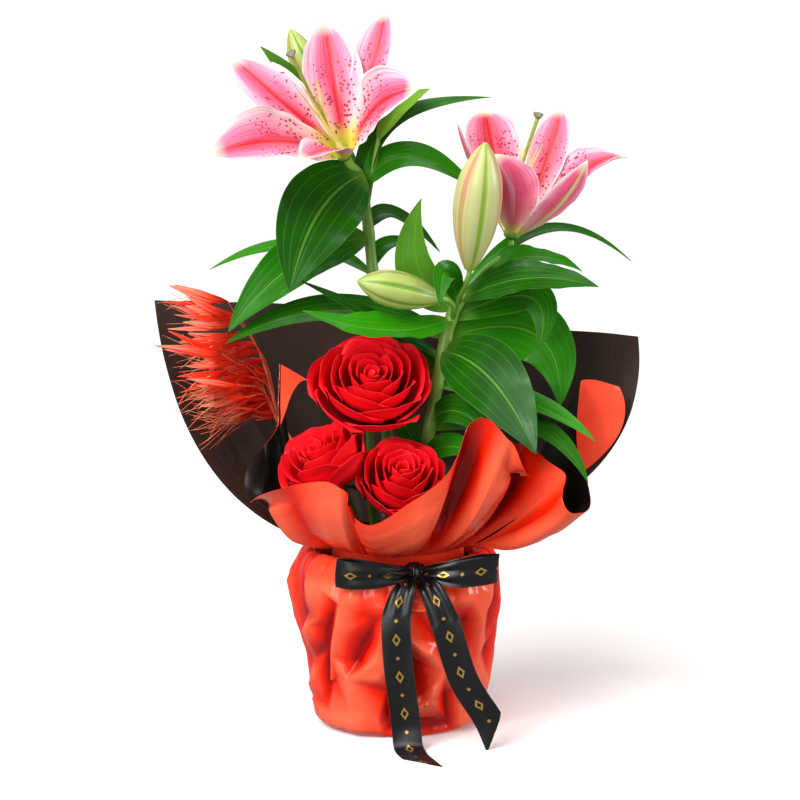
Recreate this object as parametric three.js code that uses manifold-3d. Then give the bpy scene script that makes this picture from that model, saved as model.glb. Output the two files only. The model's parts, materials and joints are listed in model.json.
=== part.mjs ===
// A mixed bouquet standing in a wrapped pot: two pink lilies on leafy stems with their buds, three red roses
// and a bunch of dyed oats. They stand in wet foam in a tapered pot. Two-tone film, red outside and black
// inside, is folded round it, drawn in above the pot's rim and tied there with a satin ribbon.
// Millimetres, +Z up. The origin is the centre of the flat base, and -Y is the front.
import * as THREE from "three";
import { mergeVertices } from "three/addons/utils/BufferGeometryUtils.js";
import Module from "manifold-3d";

const wasm = await Module();
wasm.setup();

// ---- Driving dimensions ----
const GAP = 0.3; // between solids that touch on the real thing
const FILM = 0.8; // the film's thickness as a solid
const BLADE = 0.8; // a leaf's thickness as a solid
const PETAL = 0.8; // a petal's thickness as a solid

const POT = { foot: 51, rim: 65, wall: 1.4, floor: FILM + GAP, top: 103 };
const FOAM_TOP = 97;
const STEM_FOOT = 62; // how low the cut stems reach into the foam
const NECK = { low: 112, tie: 118, high: 125, pouch: 46, front: 47.1, back: 48.4, band: 49.5 }; // heights, outer radii
const RIBBON = { width: 20, thick: 0.7, gathered: 11 };

const COLOURS = {
  red_film: { color: 0xe5301c, roughness: 0.38, metalness: 0 },
  black_ribbon: { color: 0x15151a, roughness: 0.35, metalness: 0 },
  pot: { color: 0x2b2b2d, roughness: 0.5, metalness: 0 },
  foam: { color: 0x2f5a34, roughness: 0.95, metalness: 0 },
  leaf: { color: 0x2f7a22, roughness: 0.4, metalness: 0 },
  lily: { color: 0xf0709a, roughness: 0.5, metalness: 0 },
  pistil: { color: 0xcfd06a, roughness: 0.5, metalness: 0 },
  bud: { color: 0xc9d27a, roughness: 0.5, metalness: 0 },
  rose: { color: 0xc0061a, roughness: 0.6, metalness: 0 },
  oats: { color: 0xef3f2a, roughness: 0.7, metalness: 0 },
};

// ---- Vectors and solids ----
const vec = (p) => (p.isVector3 ? p.clone() : new THREE.Vector3(...p));
const mix = (a, b, t) => vec(a).lerp(vec(b), t);
const unit = (p) => vec(p).normalize();
const cross = (a, b) => vec(a).cross(b);
const along = (start, direction, distance) => vec(start).addScaledVector(unit(direction), distance);
const steps = (n) => Array.from({ length: n + 1 }, (_, i) => i / n);
const smooth = (points) => new THREE.CatmullRomCurve3(points.map(vec), false, "centripetal");

// Two directions square to a third one and to each other.
function square(direction) {
  const side = cross(direction, vec([0.31, 0.95, 0.08])).normalize();
  return [side, cross(direction, side)];
}

// A seeded source of numbers from 0 to 1, the same on every run.
function seeded(seed) {
  let state = seed >>> 0;
  return () => {
    state = (Math.imul(state, 1664525) + 1013904223) >>> 0;
    return state / 4294967296;
  };
}

// A closed solid from points and triangles, turned to face outwards.
function solidOf(points, faces) {
  const geometry = new THREE.BufferGeometry().setFromPoints(points);
  geometry.setIndex(faces);
  const merged = mergeVertices(geometry, 1e-4);
  const corners = new Uint32Array(merged.index.array);
  const mesh = { numProp: 3, vertProperties: merged.attributes.position.array, triVerts: corners };
  const made = new wasm.Manifold(new wasm.Mesh(mesh));
  if (made.volume() > 0) return made;
  for (let i = 0; i < corners.length; i += 3) corners.subarray(i + 1, i + 3).reverse();
  return new wasm.Manifold(new wasm.Mesh(mesh));
}

// A lathed solid: profile lists [radius, height] round a closed outline.
function lathe(profile, sides) {
  const source = new THREE.LatheGeometry(profile.map(([r, z]) => new THREE.Vector2(r, z)), sides).rotateX(Math.PI / 2);
  source.deleteAttribute("normal");
  source.deleteAttribute("uv");
  const bare = mergeVertices(source, 1e-4);
  const faces = [];
  for (let i = 0; i < bare.index.count; i += 3) {
    const [a, b, c] = [0, 1, 2].map((k) => bare.index.getX(i + k));
    if (a !== b && b !== c && a !== c) faces.push(a, b, c);
  }
  const at = bare.attributes.position;
  return solidOf(Array.from({ length: at.count }, (_, i) => new THREE.Vector3().fromBufferAttribute(at, i)), faces);
}

// Several solids as one, without the slivers and loose scraps that a join can leave.
function fuse(solids) {
  return largest(solids.reduce((whole, next) => whole.add(next)).asOriginal().simplify(0.1));
}

function largest(solid) {
  return solid.decompose().reduce((best, next) => (next.volume() > best.volume() ? next : best));
}

// A closed slab between two grids of points with the same rows and columns, split into triangles alike.
function slab(top, under) {
  const rows = top.length;
  const cols = top[0].length;
  const up = (i, j) => i * cols + j;
  const down = (i, j) => rows * cols + up(i, j);
  const faces = [];
  const wall = (a, b, c, d) => faces.push(a, b, c, a, c, d);
  for (let i = 0; i < rows - 1; i++)
    for (let j = 0; j < cols - 1; j++) {
      wall(up(i, j), up(i + 1, j), up(i + 1, j + 1), up(i, j + 1));
      faces.push(down(i, j), down(i + 1, j + 1), down(i + 1, j));
      faces.push(down(i, j), down(i, j + 1), down(i + 1, j + 1));
    }
  const last = { row: rows - 1, col: cols - 1 };
  for (let i = 0; i < last.row; i++) {
    wall(up(i, 0), down(i, 0), down(i + 1, 0), up(i + 1, 0));
    wall(up(i + 1, last.col), down(i + 1, last.col), down(i, last.col), up(i, last.col));
  }
  for (let j = 0; j < last.col; j++) {
    wall(up(0, j + 1), down(0, j + 1), down(0, j), up(0, j));
    wall(up(last.row, j), down(last.row, j), down(last.row, j + 1), up(last.row, j + 1));
  }
  return solidOf([...top.flat(), ...under.flat()], faces);
}

// A grid of points thickened evenly to both sides along its own normals.
function shell(grid, thick) {
  const clamp = (i, n) => Math.min(Math.max(i, 0), n - 1);
  const offset = (lift) =>
    grid.map((line, i) =>
      line.map((point, j) => {
        const down = grid[clamp(i + 1, grid.length)][j].clone().sub(grid[clamp(i - 1, grid.length)][j]);
        const over = line[clamp(j + 1, line.length)].clone().sub(line[clamp(j - 1, line.length)]);
        return point.clone().addScaledVector(cross(down, over).normalize(), lift);
      }),
    );
  return slab(offset(thick / 2), offset(-thick / 2));
}

// A closed body lofted through rings of points, with a point closing each end.
function loft(rings, start, end) {
  const sides = rings[0].length;
  const points = [...rings.flat(), start, end];
  const at = (i, j) => i * sides + (j % sides);
  const faces = [];
  for (let i = 0; i < rings.length - 1; i++)
    for (let j = 0; j < sides; j++) {
      faces.push(at(i, j), at(i, j + 1), at(i + 1, j + 1));
      faces.push(at(i, j), at(i + 1, j + 1), at(i + 1, j));
    }
  for (let j = 0; j < sides; j++) {
    faces.push(at(0, j + 1), at(0, j), points.length - 2);
    faces.push(at(rings.length - 1, j), at(rings.length - 1, j + 1), points.length - 1);
  }
  return solidOf(points, faces);
}

// A closed wall between two nests of rings, split into triangles alike. Each nest is closed by its foot at its
// first ring, and the last two rings make the open rim.
function vessel(outer, inner, outerFoot, innerFoot) {
  const [rows, sides] = [outer.length, outer[0].length];
  const out = (i, j) => i * sides + (j % sides);
  const within = (i, j) => rows * sides + out(i, j);
  const faces = [];
  const wall = (a, b, c, d) => faces.push(a, b, c, a, c, d);
  for (let j = 0; j < sides; j++) {
    for (let i = 0; i < rows - 1; i++) {
      wall(out(i, j), out(i, j + 1), out(i + 1, j + 1), out(i + 1, j));
      faces.push(within(i, j), within(i + 1, j + 1), within(i, j + 1));
      faces.push(within(i, j), within(i + 1, j), within(i + 1, j + 1));
    }
    wall(out(rows - 1, j), out(rows - 1, j + 1), within(rows - 1, j + 1), within(rows - 1, j));
    faces.push(out(0, j + 1), out(0, j), 2 * rows * sides, within(0, j), within(0, j + 1), 2 * rows * sides + 1);
  }
  return solidOf([...outer.flat(), ...inner.flat(), outerFoot, innerFoot], faces);
}

function ring(centre, [side, other], radius, sides, ripple = () => 0) {
  return Array.from({ length: sides }, (_, k) => {
    const turn = (2 * Math.PI * k) / sides;
    const reach = radius * (1 + ripple(k));
    return vec(centre).addScaledVector(side, reach * Math.cos(turn)).addScaledVector(other, reach * Math.sin(turn));
  });
}

// A tapered rod along a smooth curve through the given points: thick(t) is its radius.
function rod(path, thick, sides = 5, spans = 6) {
  const curve = smooth(path);
  const rings = steps(spans).map((t) => ring(curve.getPoint(t), square(curve.getTangent(t)), thick(t), sides));
  return loft(rings, curve.getPoint(0), curve.getPoint(1));
}

// A body of revolution about any line: profile lists [distance along, radius].
function spindle(foot, direction, profile, sides, ripple) {
  const frame = square(unit(direction));
  const rings = profile.map(([s, r]) => ring(along(foot, direction, s), frame, r, sides, ripple));
  return loft(rings, along(foot, direction, profile[0][0]), along(foot, direction, profile.at(-1)[0]));
}

// ---- Leaves and tepals ----
// A blade's centre line is a quadratic curve from root by bend to tip. Across it, s runs from -1 to 1: the
// edges rise by cup times the half width, and wave by wave millimetres.
const OUTLINES = {
  leaf: (t) => Math.sin(Math.PI * t ** 0.78) ** 0.85,
  tepal: (t) => Math.sin(Math.PI * t ** 1.15) ** 0.72,
};

function blade({ root, bend, tip, half, face, faceTip, cup = 0.2, wave = 0, waves = 2, outline = "leaf" }, size = {}) {
  const { rows = 6, cols = 2, thick = BLADE, ends = [1.1, 0.5] } = size;
  const curve = new THREE.QuadraticBezierCurve3(vec(root), vec(bend), vec(tip));
  const grids = steps(rows).map((t) => {
    const forward = curve.getTangent(t);
    const side = cross(forward, mix(unit(face), unit(faceTip ?? face), t)).normalize();
    const up = cross(side, forward).normalize();
    const reach = Math.max(half * OUTLINES[outline](t), ends[0] + (ends[1] - ends[0]) * t) || ends[1];
    return steps(cols).map((share) => {
      const s = 2 * share - 1;
      const ruffle = wave * s * Math.abs(s) * Math.sin(2 * Math.PI * waves * t + s) * Math.sin(Math.PI * t);
      const middle = curve.getPoint(t).addScaledVector(side, reach * s).addScaledVector(up, cup * reach * s * s + ruffle);
      return [thick / 2, -thick / 2].map((lift) => middle.clone().addScaledVector(up, lift));
    });
  });
  return slab(...[0, 1].map((k) => grids.map((row) => row.map((pair) => pair[k]))));
}

// ---- The pot and the foam in it ----
function pot() {
  const { foot, rim, wall, floor, top } = POT;
  const inner = [[rim - wall, top], [foot - wall, floor + wall], [0, floor + wall]];
  return lathe([[0, floor], [foot, floor], [rim, top], ...inner], 32);
}

// The foam fills the pot, with a plain hole for each stem.
function foam(holes) {
  const { foot, rim, wall, floor, top } = POT;
  const inside = (z) => foot - wall - GAP + ((rim - foot) * (z - floor)) / (top - floor);
  const low = floor + wall + GAP;
  const block = lathe([[0, low], [inside(low), low], [inside(FOAM_TOP), FOAM_TOP], [0, FOAM_TOP]], 32);
  return largest(holes.reduce((left, hole) => left.subtract(hole), block));
}

// The clear hole that a stem stands in: its flats stand off the stem by the gap.
function hole([foot, brim], radius) {
  const way = vec(brim).sub(vec(foot));
  return rod([along(foot, way, -0.6), along(brim, way, 12)], () => (radius + GAP) / Math.cos(Math.PI / 8), 8, 1);
}

// ---- The film ----
// The pouch round the pot: a profile of [radius, height], pleated towards the neck and creased below.
const POUCH = [
  [31, 0], [52, 0], [57, 2.5], [61.5, 22], [66.5, 46], [71, 70], [73.5, 91], [72.5, 105], [67.5, 113.5], [60, 115.5],
  [53, 112], [NECK.pouch, 108.5], [NECK.pouch, 133],
];
const POUCH_SIDES = 22;

function pouch() {
  const draw = seeded(11);
  const outer = POUCH.map(([r, z]) =>
    Array.from({ length: POUCH_SIDES }, (_, j) => {
      const turn = (2 * Math.PI * (j + 0.5)) / POUCH_SIDES;
      const crease = 5.2 * (draw() - 0.5);
      const pleat = (j % 2 ? 1.2 : -1.2) * THREE.MathUtils.smoothstep(z, 60, 110);
      const free = z > 8 && r > 56;
      const front = Math.max(0, -Math.sin(turn)) ** 2; // the bow presses the shoulder down in front
      const reach = r + (free ? pleat + crease : 0);
      return vec([reach * Math.cos(turn), reach * Math.sin(turn), z - (z > 110 && z < 130 ? 3.5 * front : 0)]);
    }),
  );
  const inner = POUCH.map(([r, z], i) => {
    const [before, after] = [POUCH[Math.max(i - 1, 0)], POUCH[Math.min(i + 1, POUCH.length - 1)]];
    const out = new THREE.Vector2(after[1] - before[1], before[0] - after[0]).normalize();
    return outer[i].map((point) => {
      const reach = Math.hypot(point.x, point.y);
      const shrink = (reach - FILM * out.x) / reach;
      const level = z === 0 ? FILM : i === POUCH.length - 1 ? z : point.z - FILM * out.y;
      return vec([point.x * shrink, point.y * shrink, level]);
    });
  });
  return vessel(outer, inner, vec([0, 0, 0]), vec([0, 0, FILM]));
}

// A collar of film stands in the neck and opens to its rim. Each column holds its angle at the neck, in
// degrees from the front towards +X, where it meets the rim, and the point it leans out to on the way up.
// The lean can also be a share: at 1 the film goes out first and then up.
function collarSurface(columns, outside, flare) {
  const radius = outside - FILM / 2;
  const turns = smooth(columns.map(({ turn }) => [turn, 0, 0]));
  const rims = smooth(columns.map(({ rim }) => rim));
  const foot = (turn, z) => {
    const a = THREE.MathUtils.degToRad(turn);
    return vec([radius * Math.sin(a), -radius * Math.cos(a), z]);
  };
  const leans = smooth(
    columns.map(({ turn, rim, lean }) => {
      if (lean.length) return lean;
      const [from, out, up] = [foot(turn, flare), 0.55 + 0.35 * lean, 0.4 - 0.28 * lean];
      return vec([from.x + out * (rim[0] - from.x), from.y + out * (rim[1] - from.y), from.z + up * (rim[2] - from.z)]);
    }),
  );
  return (u, t) => {
    const turn = turns.getPoint(u).x;
    if (t <= 0) return foot(turn, flare + t * (flare - NECK.low));
    return new THREE.QuadraticBezierCurve3(foot(turn, flare), leans.getPoint(u), rims.getPoint(u)).getPoint(t);
  };
}

const collarGrid = (surface, spans, rows) => steps(spans).map((u) => [-1, ...steps(rows)].map((t) => surface(u, t)));

const FRONT_COLUMNS = [
  { turn: -108, rim: [-80, 28, 250], lean: 0.75 },
  { turn: -102, rim: [-86, 20, 241], lean: 0.75 },
  { turn: -96, rim: [-91, 11, 224], lean: 0.75 },
  { turn: -90, rim: [-93, 2, 207], lean: 0.75 },
  { turn: -83, rim: [-93, -9, 195], lean: 0.75 },
  { turn: -76, rim: [-96, -22, 185], lean: 0.75 },
  { turn: -69, rim: [-95, -37, 177], lean: 0.75 },
  { turn: -61, rim: [-87, -57, 179], lean: 0.75 },
  { turn: -50, rim: [-66, -78, 184], lean: 0.7 },
  { turn: -38, rim: [-44, -90, 188], lean: 0.6 },
  { turn: -30, rim: [-34, -94, 182], lean: 0.5 },
  { turn: -23, rim: [-34, -91, 169], lean: 0.5 },
  { turn: -16, rim: [-20, -90, 158], lean: 0.5 },
  { turn: -4, rim: [8, -95, 168], lean: 0.5 },
  { turn: 8, rim: [28, -100, 186], lean: 0.4 },
  { turn: 17, rim: [41, -102, 207], lean: 0.3 },
  { turn: 25, rim: [56, -98, 230], lean: 0.2 },
  { turn: 33, rim: [73, -99, 219], lean: 0.2 },
  { turn: 39, rim: [80, -92, 207], lean: 0.2 },
  { turn: 43, rim: [74, -80, 200], lean: 0.1 },
  { turn: 48, rim: [76, -66, 200], lean: 0.1 },
  { turn: 54, rim: [90, -61, 206], lean: 0.1 },
  { turn: 60, rim: [106, -68, 202], lean: 0.15 },
  { turn: 65, rim: [111, -80, 191], lean: 0.2 },
  { turn: 69, rim: [107, -89, 180], lean: 0.25 },
  { turn: 73, rim: [113, -86, 169], lean: 0.3 },
  { turn: 78, rim: [125, -72, 171], lean: 0.3 },
  { turn: 83, rim: [128, -52, 186], lean: 0.3 },
  { turn: 89, rim: [127, -28, 212], lean: 0.3 },
  { turn: 96, rim: [136, -8, 240], lean: 0.35 },
  { turn: 104, rim: [154, 2, 233], lean: 0.4 },
];

const BACK_COLUMNS = [
  { turn: -86, rim: [-170, 12, 297], lean: [-153, -30, 155] },
  { turn: -105, rim: [-142, 42, 292], lean: [-124, 16, 154] },
  { turn: -124, rim: [-100, 66, 289], lean: [-90, 52, 166] },
  { turn: -146, rim: [-58, 80, 284], lean: [-50, 74, 174] },
  { turn: -172, rim: [1, 89, 275], lean: [0, 84, 180] },
  { turn: -202, rim: [62, 87, 269], lean: [50, 82, 180] },
  { turn: -228, rim: [116, 74, 268], lean: [98, 62, 176] },
  { turn: -250, rim: [148, 50, 269], lean: [146, 28, 164] },
  { turn: -266, rim: [169, 22, 270], lean: [180, -8, 172] },
];

// The corner of the front collar that is folded over, red side forwards: its crease lies in the collar
// from one [u, t] to the other, and the loose corner stands off in front.
const EAR = { crease: [[0.012, 1], [0.08, 0.78]], corner: [-61, 3, 242] };

function frontCollar() {
  const surface = collarSurface(FRONT_COLUMNS, NECK.front, NECK.high + 1.5);
  const [from, to] = EAR.crease;
  const grid = steps(3).map((share) => {
    const crease = surface(from[0] + share * (to[0] - from[0]), from[1] + share * (to[1] - from[1]));
    const free = mix(EAR.corner, crease, 0.93 * share);
    const root = along(crease, crease.clone().sub(vec(EAR.corner)), 0.9);
    return [root, mix(root, free, 0.5).add(vec([0, -1.5 * (1 - share), 0])), free];
  });
  return fuse([shell(collarGrid(surface, 38, 4), FILM), shell(grid, FILM)]);
}

// ---- The ribbon ----
// A strip of ribbon along a path. across lists the direction of its width at the start and at the end, pinch
// its share of the full width at each point, and cut how much shorter each edge ends than the middle line.
function strip(path, across, { pinch = [1, 1], cut = [0, 0], spans = 10 } = {}) {
  const curve = smooth(path);
  const share = (t) => {
    const i = Math.min(Math.floor(t * (pinch.length - 1)), pinch.length - 2);
    return THREE.MathUtils.lerp(pinch[i], pinch[i + 1], t * (pinch.length - 1) - i);
  };
  const grid = steps(spans).map((t) =>
    [-1, 1].map((s) => {
      const way = mix(unit(across[0]), unit(across[1]), t).normalize();
      const point = curve.getPoint(t * (1 - cut[s < 0 ? 0 : 1])).addScaledVector(way, (s * share(t) * RIBBON.width) / 2);
      return point.setZ(Math.max(point.z, 0.6 * RIBBON.thick)); // a tail's end lies on the surface
    }),
  );
  return shell(grid, RIBBON.thick);
}

const KNOT = [13, -56, 120];

function ribbonBow() {
  const [x, y, z] = KNOT;
  const upright = [0.04, -0.12, 1];
  const pinch = [0.3, 0.55, 0.95, 1, 1, 0.9, 0.55, 0.3];
  const loops = [
    strip([[x, y - 2, z], [x - 12, y - 14, z], [x - 28, y - 20, z - 2], [x - 46, y - 20, z - 4], [x - 55, y - 15, z - 4],
      [x - 44, y - 12, z - 2], [x - 22, y - 10, z], [x - 2, y, z]], [upright, upright], { pinch, spans: 12 }),
    strip([[x, y - 2, z], [x + 13, y - 14, z + 1], [x + 29, y - 20, z], [x + 46, y - 19, z], [x + 54, y - 14, z],
      [x + 43, y - 11, z + 1], [x + 22, y - 9, z + 1], [x + 2, y, z]], [upright, upright], { pinch, spans: 12 }),
  ];
  const tails = [
    strip([[x - 1, y - 3, z - 2], [x - 8, y - 16, z - 8], [x - 13, y - 24, z - 25], [x - 12, y - 26, z - 55], [x - 8, y - 26, 30],
      [x - 6, y - 26, 12], [x - 5, y - 29, 3.5], [x - 2, y - 38, 0.5], [x + 8, y - 66, 0.5]], [[1, -0.1, 0.1], [1, 0.1, 0]],
    { pinch: [0.35, 0.8, 1, 1, 1, 1, 1, 1, 1], cut: [0.08, 0], spans: 18 }),
    strip([[x + 2, y - 3, z - 2], [x + 9, y - 16, z - 8], [x + 19, y - 23, z - 30], [x + 33, y - 24, z - 70], [x + 44, y - 25, 17],
      [x + 50, y - 26, 1.5]], [[1, -0.1, 0.3], [0.94, 0.1, 0.34]],
    { pinch: [0.35, 0.8, 1, 1, 1, 1], cut: [0, 0.12], spans: 9 }),
  ];
  const knot = spindle([x - 8, y, z], [1, 0, 0], [[0, 3.5], [3, 6.4], [8, 7.4], [13, 6.4], [16, 3.5]], 8);
  return largest(fuse([knot, ...loops, ...tails]).subtract(lathe(tube(NECK.band + GAP, 40, 90, 140), 32)));
}

function tube(outer, inner, low, high) {
  return [[inner, low], [outer, low], [outer, high], [inner, high], [inner, low]];
}

function ribbonBand() {
  const half = RIBBON.gathered / 2;
  return lathe(tube(NECK.band, NECK.band - RIBBON.thick, NECK.tie - half, NECK.tie + half), 32);
}

// ---- Lilies ----
const LEFT_STEM = {
  path: [[0, 12, STEM_FOOT], [-1, 14, 97], [-7, 20, 189], [-13, 24, 274], [-18, 24, 318], [-22, 22, 356], [-27, 17, 384]],
  thick: (t) => 4.4 - 1.2 * t,
};
const RIGHT_STEM = {
  path: [[2, -2, STEM_FOOT], [5, -1, 98], [11, -2, 143], [21, -4, 202], [30, -6, 256], [37, -8, 287], [45, -6, 304]],
  thick: (t) => 5 - 1.3 * t,
};

const LEFT_LEAVES = [
  { root: [-24, 13, 385], bend: [-52, -10, 404], tip: [-73, -42, 310], half: 23, face: [-0.25, -0.8, 0.6], cup: 0.1 },
  { root: [-21, 20, 340], bend: [-70, 2, 352], tip: [-115, -30, 281], half: 18, face: [-0.1, -0.75, 0.65], cup: 0.22 },
  { root: [-18, 25, 313], bend: [-70, 58, 350], tip: [-134, 45, 315], half: 8, face: [0, -0.5, 0.85] },
  { root: [-21, 24, 346], bend: [-9, 42, 372], tip: [30, 48, 327], half: 9, face: [0.1, -0.5, 0.85], cup: 0.3 },
  { root: [-18, 25, 318], bend: [-14, 40, 344], tip: [21, 50, 330], half: 7, face: [0.1, -0.5, 0.85], cup: 0.3 },
  { root: [-25, 19, 376], bend: [2, 14, 420], tip: [57, 16, 372], half: 12, face: [0.2, -0.7, 0.7], cup: 0.25 },
  { root: [-24, 20, 370], bend: [-30, 24, 434], tip: [64, 12, 438], half: 9, face: [0, -0.6, 0.8], cup: 0.25 },
  { root: [-14, 17, 408], bend: [0, 12, 432], tip: [22, 6, 444], half: 9, face: [-0.7, -0.6, 0.4], cup: 0.35 },
  { root: [-33, 33, 398], bend: [-62, 34, 442], tip: [-95, 12, 473], half: 9, face: [-0.2, -0.85, 0.45], cup: 0.15 },
];
const LEFT_TWIGS = [
  [[-22, 22, 362], [-18, 20, 385], [-13, 17, 410]],
  [[-25, 20, 374], [-32, 32, 396], [-43, 43, 414]],
];

const RIGHT_LEAVES = [
  { root: [38, -7, 293], bend: [0, -4, 316], tip: [16, -16, 370], half: 15, face: [-0.45, -0.8, 0.35], cup: 0.35 },
  { root: [42, -13, 297], bend: [30, -46, 344], tip: [28, -56, 300], half: 9, face: [0.1, -0.9, 0.3], cup: 0.3 },
  { root: [45, -3, 302], bend: [84, 0, 346], tip: [128, 4, 318], half: 10, face: [0, -0.55, 0.83], cup: 0.28, wave: 2 },
  { root: [43, -8, 299], bend: [84, -34, 328], tip: [136, -40, 312], half: 14, face: [0, -0.72, 0.7], cup: 0.2, wave: 2 },
  { root: [43.5, -4.5, 300], bend: [100, 36, 378], tip: [165, 34, 322], half: 7, face: [0.05, -0.4, 0.9], cup: 0.3 },
  { root: [37, -10, 286], bend: [-5, -48, 274], tip: [-64, -58, 298], half: 14, face: [0, -0.55, 0.83], cup: 0.22, wave: 2 },
  { root: [32, -4, 272], bend: [-47, 6, 312], tip: [-118, -32, 272], half: 14, face: [0, -0.6, 0.8], cup: 0.22 },
  { root: [27, -3, 240], bend: [2, 10, 282], tip: [-34, 22, 273], half: 11, face: [0, -0.7, 0.7], cup: 0.25 },
  { root: [31, -10, 264], bend: [74, -48, 314], tip: [89, -88, 206], half: 22, face: [0.25, -0.85, 0.45], cup: 0.12 },
  { root: [37, -6, 286], bend: [116, -12, 328], tip: [96, -24, 266], half: 15, face: [0.3, -0.8, 0.5], cup: 0.2 },
  { root: [33, -3, 272], bend: [122, 14, 306], tip: [112, -4, 226], half: 20, face: [0.2, -0.85, 0.45], cup: 0.16 },
  { root: [24, -7, 216], bend: [44, -28, 244], tip: [60, -44, 214], half: 9, face: [0.1, -0.75, 0.65], cup: 0.25 },
  { root: [19, -6, 190], bend: [36, -26, 216], tip: [54, -44, 207], half: 7, face: [0.1, -0.75, 0.65], cup: 0.25 },
  { root: [28, -5, 238], bend: [92, -20, 240], tip: [134, -58, 209], half: 10, face: [0.2, -0.6, 0.75], cup: 0.3 },
  { root: [22, -3, 208], bend: [104, -30, 236], tip: [127, -88, 186], half: 11, face: [0.35, -0.7, 0.6], cup: 0.22 },
  { root: [18, -4, 184], bend: [-4, 6, 236], tip: [-28, 22, 226], half: 9, face: [0, -0.75, 0.65], cup: 0.25 },
  { root: [31, -8, 258], bend: [-10, -18, 288], tip: [-68, -32, 316], half: 5, face: [0.3, -0.8, 0.5], cup: 0.3 },
];
const RIGHT_TWIGS = [
  [[37, -8, 286], [41, -15, 300]],
  [[37, -9, 284], [38.5, -15, 295]],
  [[44, -6, 302], [58, -2, 318]],
];

// Buds: foot, tip and half width.
const BUDS = {
  left: { foot: [-52.7, 50, 431.6], tip: [-76, 54, 484], girth: 10 },
  upright: { foot: [49, -25.5, 323], tip: [58, -62, 409], girth: 17 },
  side: { foot: [29, -21.8, 301.9], tip: [-27, -42, 316], girth: 12.5 },
};

const LEFT_LILY = {
  foot: [-35.5, 9, 396],
  axis: [-0.42, -0.45, 0.78],
  inner: [
    { bend: [-43, -8, 446], tip: [-53, 48, 493], half: 21, face: [0, -0.9, 0.4] },
    { bend: [-19, -44, 448], tip: [10, -54, 447], half: 20, face: [-0.05, -0.75, 0.7] },
    { bend: [-73, -55, 427], tip: [-123, -52, 404], half: 20, face: [0.1, -0.65, 0.75] },
  ],
  outer: [
    { bend: [-13, 1, 472], tip: [-10, 38, 496], half: 13, face: [-0.35, -0.9, 0.2] },
    { bend: [-80, -12, 440], tip: [-118, 36, 464], half: 15, face: [0.2, -0.85, 0.45] },
    { bend: [-43, -48, 413], tip: [-64, -85, 400], half: 15, face: [0.1, -0.3, 0.95] },
  ],
  stigma: [-71, -40, 468],
};
const RIGHT_LILY = {
  foot: [79, 8, 340],
  axis: [0.12, -0.06, 0.99],
  inner: [
    { bend: [64, 29, 415], tip: [61, 42, 428], half: 20, face: [0.15, -0.95, 0.2] },
    { bend: [83, -38, 378], tip: [65, -32, 401], half: 19, face: [0.1, 0.9, 0.4] },
    { bend: [131, 2, 403], tip: [160, 20, 396], half: 17, face: [-0.4, -0.45, 0.8] },
  ],
  outer: [
    { bend: [113, 23, 407], tip: [113, 42, 430], half: 14, face: [-0.3, -0.9, 0.2] },
    { bend: [112, -48, 363], tip: [127, -48, 398], half: 14, face: [-0.4, 0.7, 0.6] },
    { bend: [43, -5, 400], tip: [41, 12, 422], half: 13, face: [0.9, 0, 0.4] },
  ],
  stigma: [96, -8, 426],
};

function leafyStem(stem, leaves, twigs) {
  const green = [rod(stem.path, stem.thick, 6, 12)];
  leaves.forEach((leaf) => green.push(blade(leaf, { rows: leaf.half > 10 ? 6 : 5 })));
  twigs.forEach((path) => green.push(rod(path, (t) => 2.2 - 0.4 * t, 5, 4)));
  return fuse(green);
}

// The path of a stalk led on to the foot of what it carries, square to it and clear of it.
function carrying(path, { foot, axis, tip }) {
  const way = axis ?? vec(tip).sub(vec(foot));
  return [...path, along(foot, way, -6), along(foot, way, -GAP)];
}

// Six tepals in two whorls on a short receptacle with a socket for the pistil.
function lily({ foot, axis, inner, outer }) {
  const tepal = (spec, start, wave) => {
    const reach = vec(spec.tip).sub(vec(foot));
    const radial = reach.addScaledVector(unit(axis), -reach.dot(unit(axis))).normalize();
    const root = along(foot, axis, 3).addScaledVector(radial, start);
    const shape = { ...spec, root, cup: 0.26, wave, waves: 1.5, outline: "tepal" };
    return blade(shape, { rows: 6, cols: 4, thick: PETAL, ends: [2.2, 0.6] });
  };
  const receptacle = spindle(foot, axis, [[0, 3.4], [3, 6], [7, 5.2], [9, 3.6]], 8);
  const whorls = [...outer.map((spec) => tepal(spec, 5, 1)), ...inner.map((spec) => tepal(spec, 4, 2.4))];
  return largest(fuse([receptacle, ...whorls]).subtract(spindle(foot, axis, [[5, 2.6], [20, 2.6]], 6)));
}

// The style with its three-lobed stigma and six bare filaments, seated in the lily's throat.
function pistil({ foot, axis, stigma, outer, inner }) {
  const seat = along(foot, axis, 5 + GAP);
  const long = vec(stigma).distanceTo(seat);
  const rise = along(seat, axis, 0.5 * long);
  const way = vec(stigma).sub(rise);
  const knob = spindle(stigma, way, [[-2, 1.2], [0, 3.2], [2, 3]], 6);
  const filaments = [...outer, ...inner].map(({ tip }, i) => {
    const lean = unit(vec(tip).sub(vec(foot)));
    const start = along(seat, axis, 3);
    const top = along(mix(seat, stigma, 0.62 + 0.03 * (i % 3)), lean, 11);
    return rod([start, along(start, axis, 0.3 * long).addScaledVector(lean, 3), top], (t) => 0.9 - 0.4 * t, 3, 2);
  });
  const base = spindle(seat, axis, [[0, 2.2], [10, 1.7]], 6);
  return fuse([base, rod([seat, rise, stigma], () => 1.3, 5, 5), knob, ...filaments]);
}

// A closed bud with six shallow furrows where its tepals meet.
function bud({ foot, tip, girth }) {
  const long = vec(tip).distanceTo(vec(foot));
  const shape = [[0, 0.28], [0.1, 0.62], [0.3, 0.95], [0.5, 1], [0.7, 0.86], [0.87, 0.52], [0.96, 0.24], [1, 0.1]];
  const profile = shape.map(([s, r]) => [s * long, r * girth]);
  return spindle(foot, vec(tip).sub(vec(foot)), profile, 12, (k) => (k % 2 ? 0.04 : -0.06));
}

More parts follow.
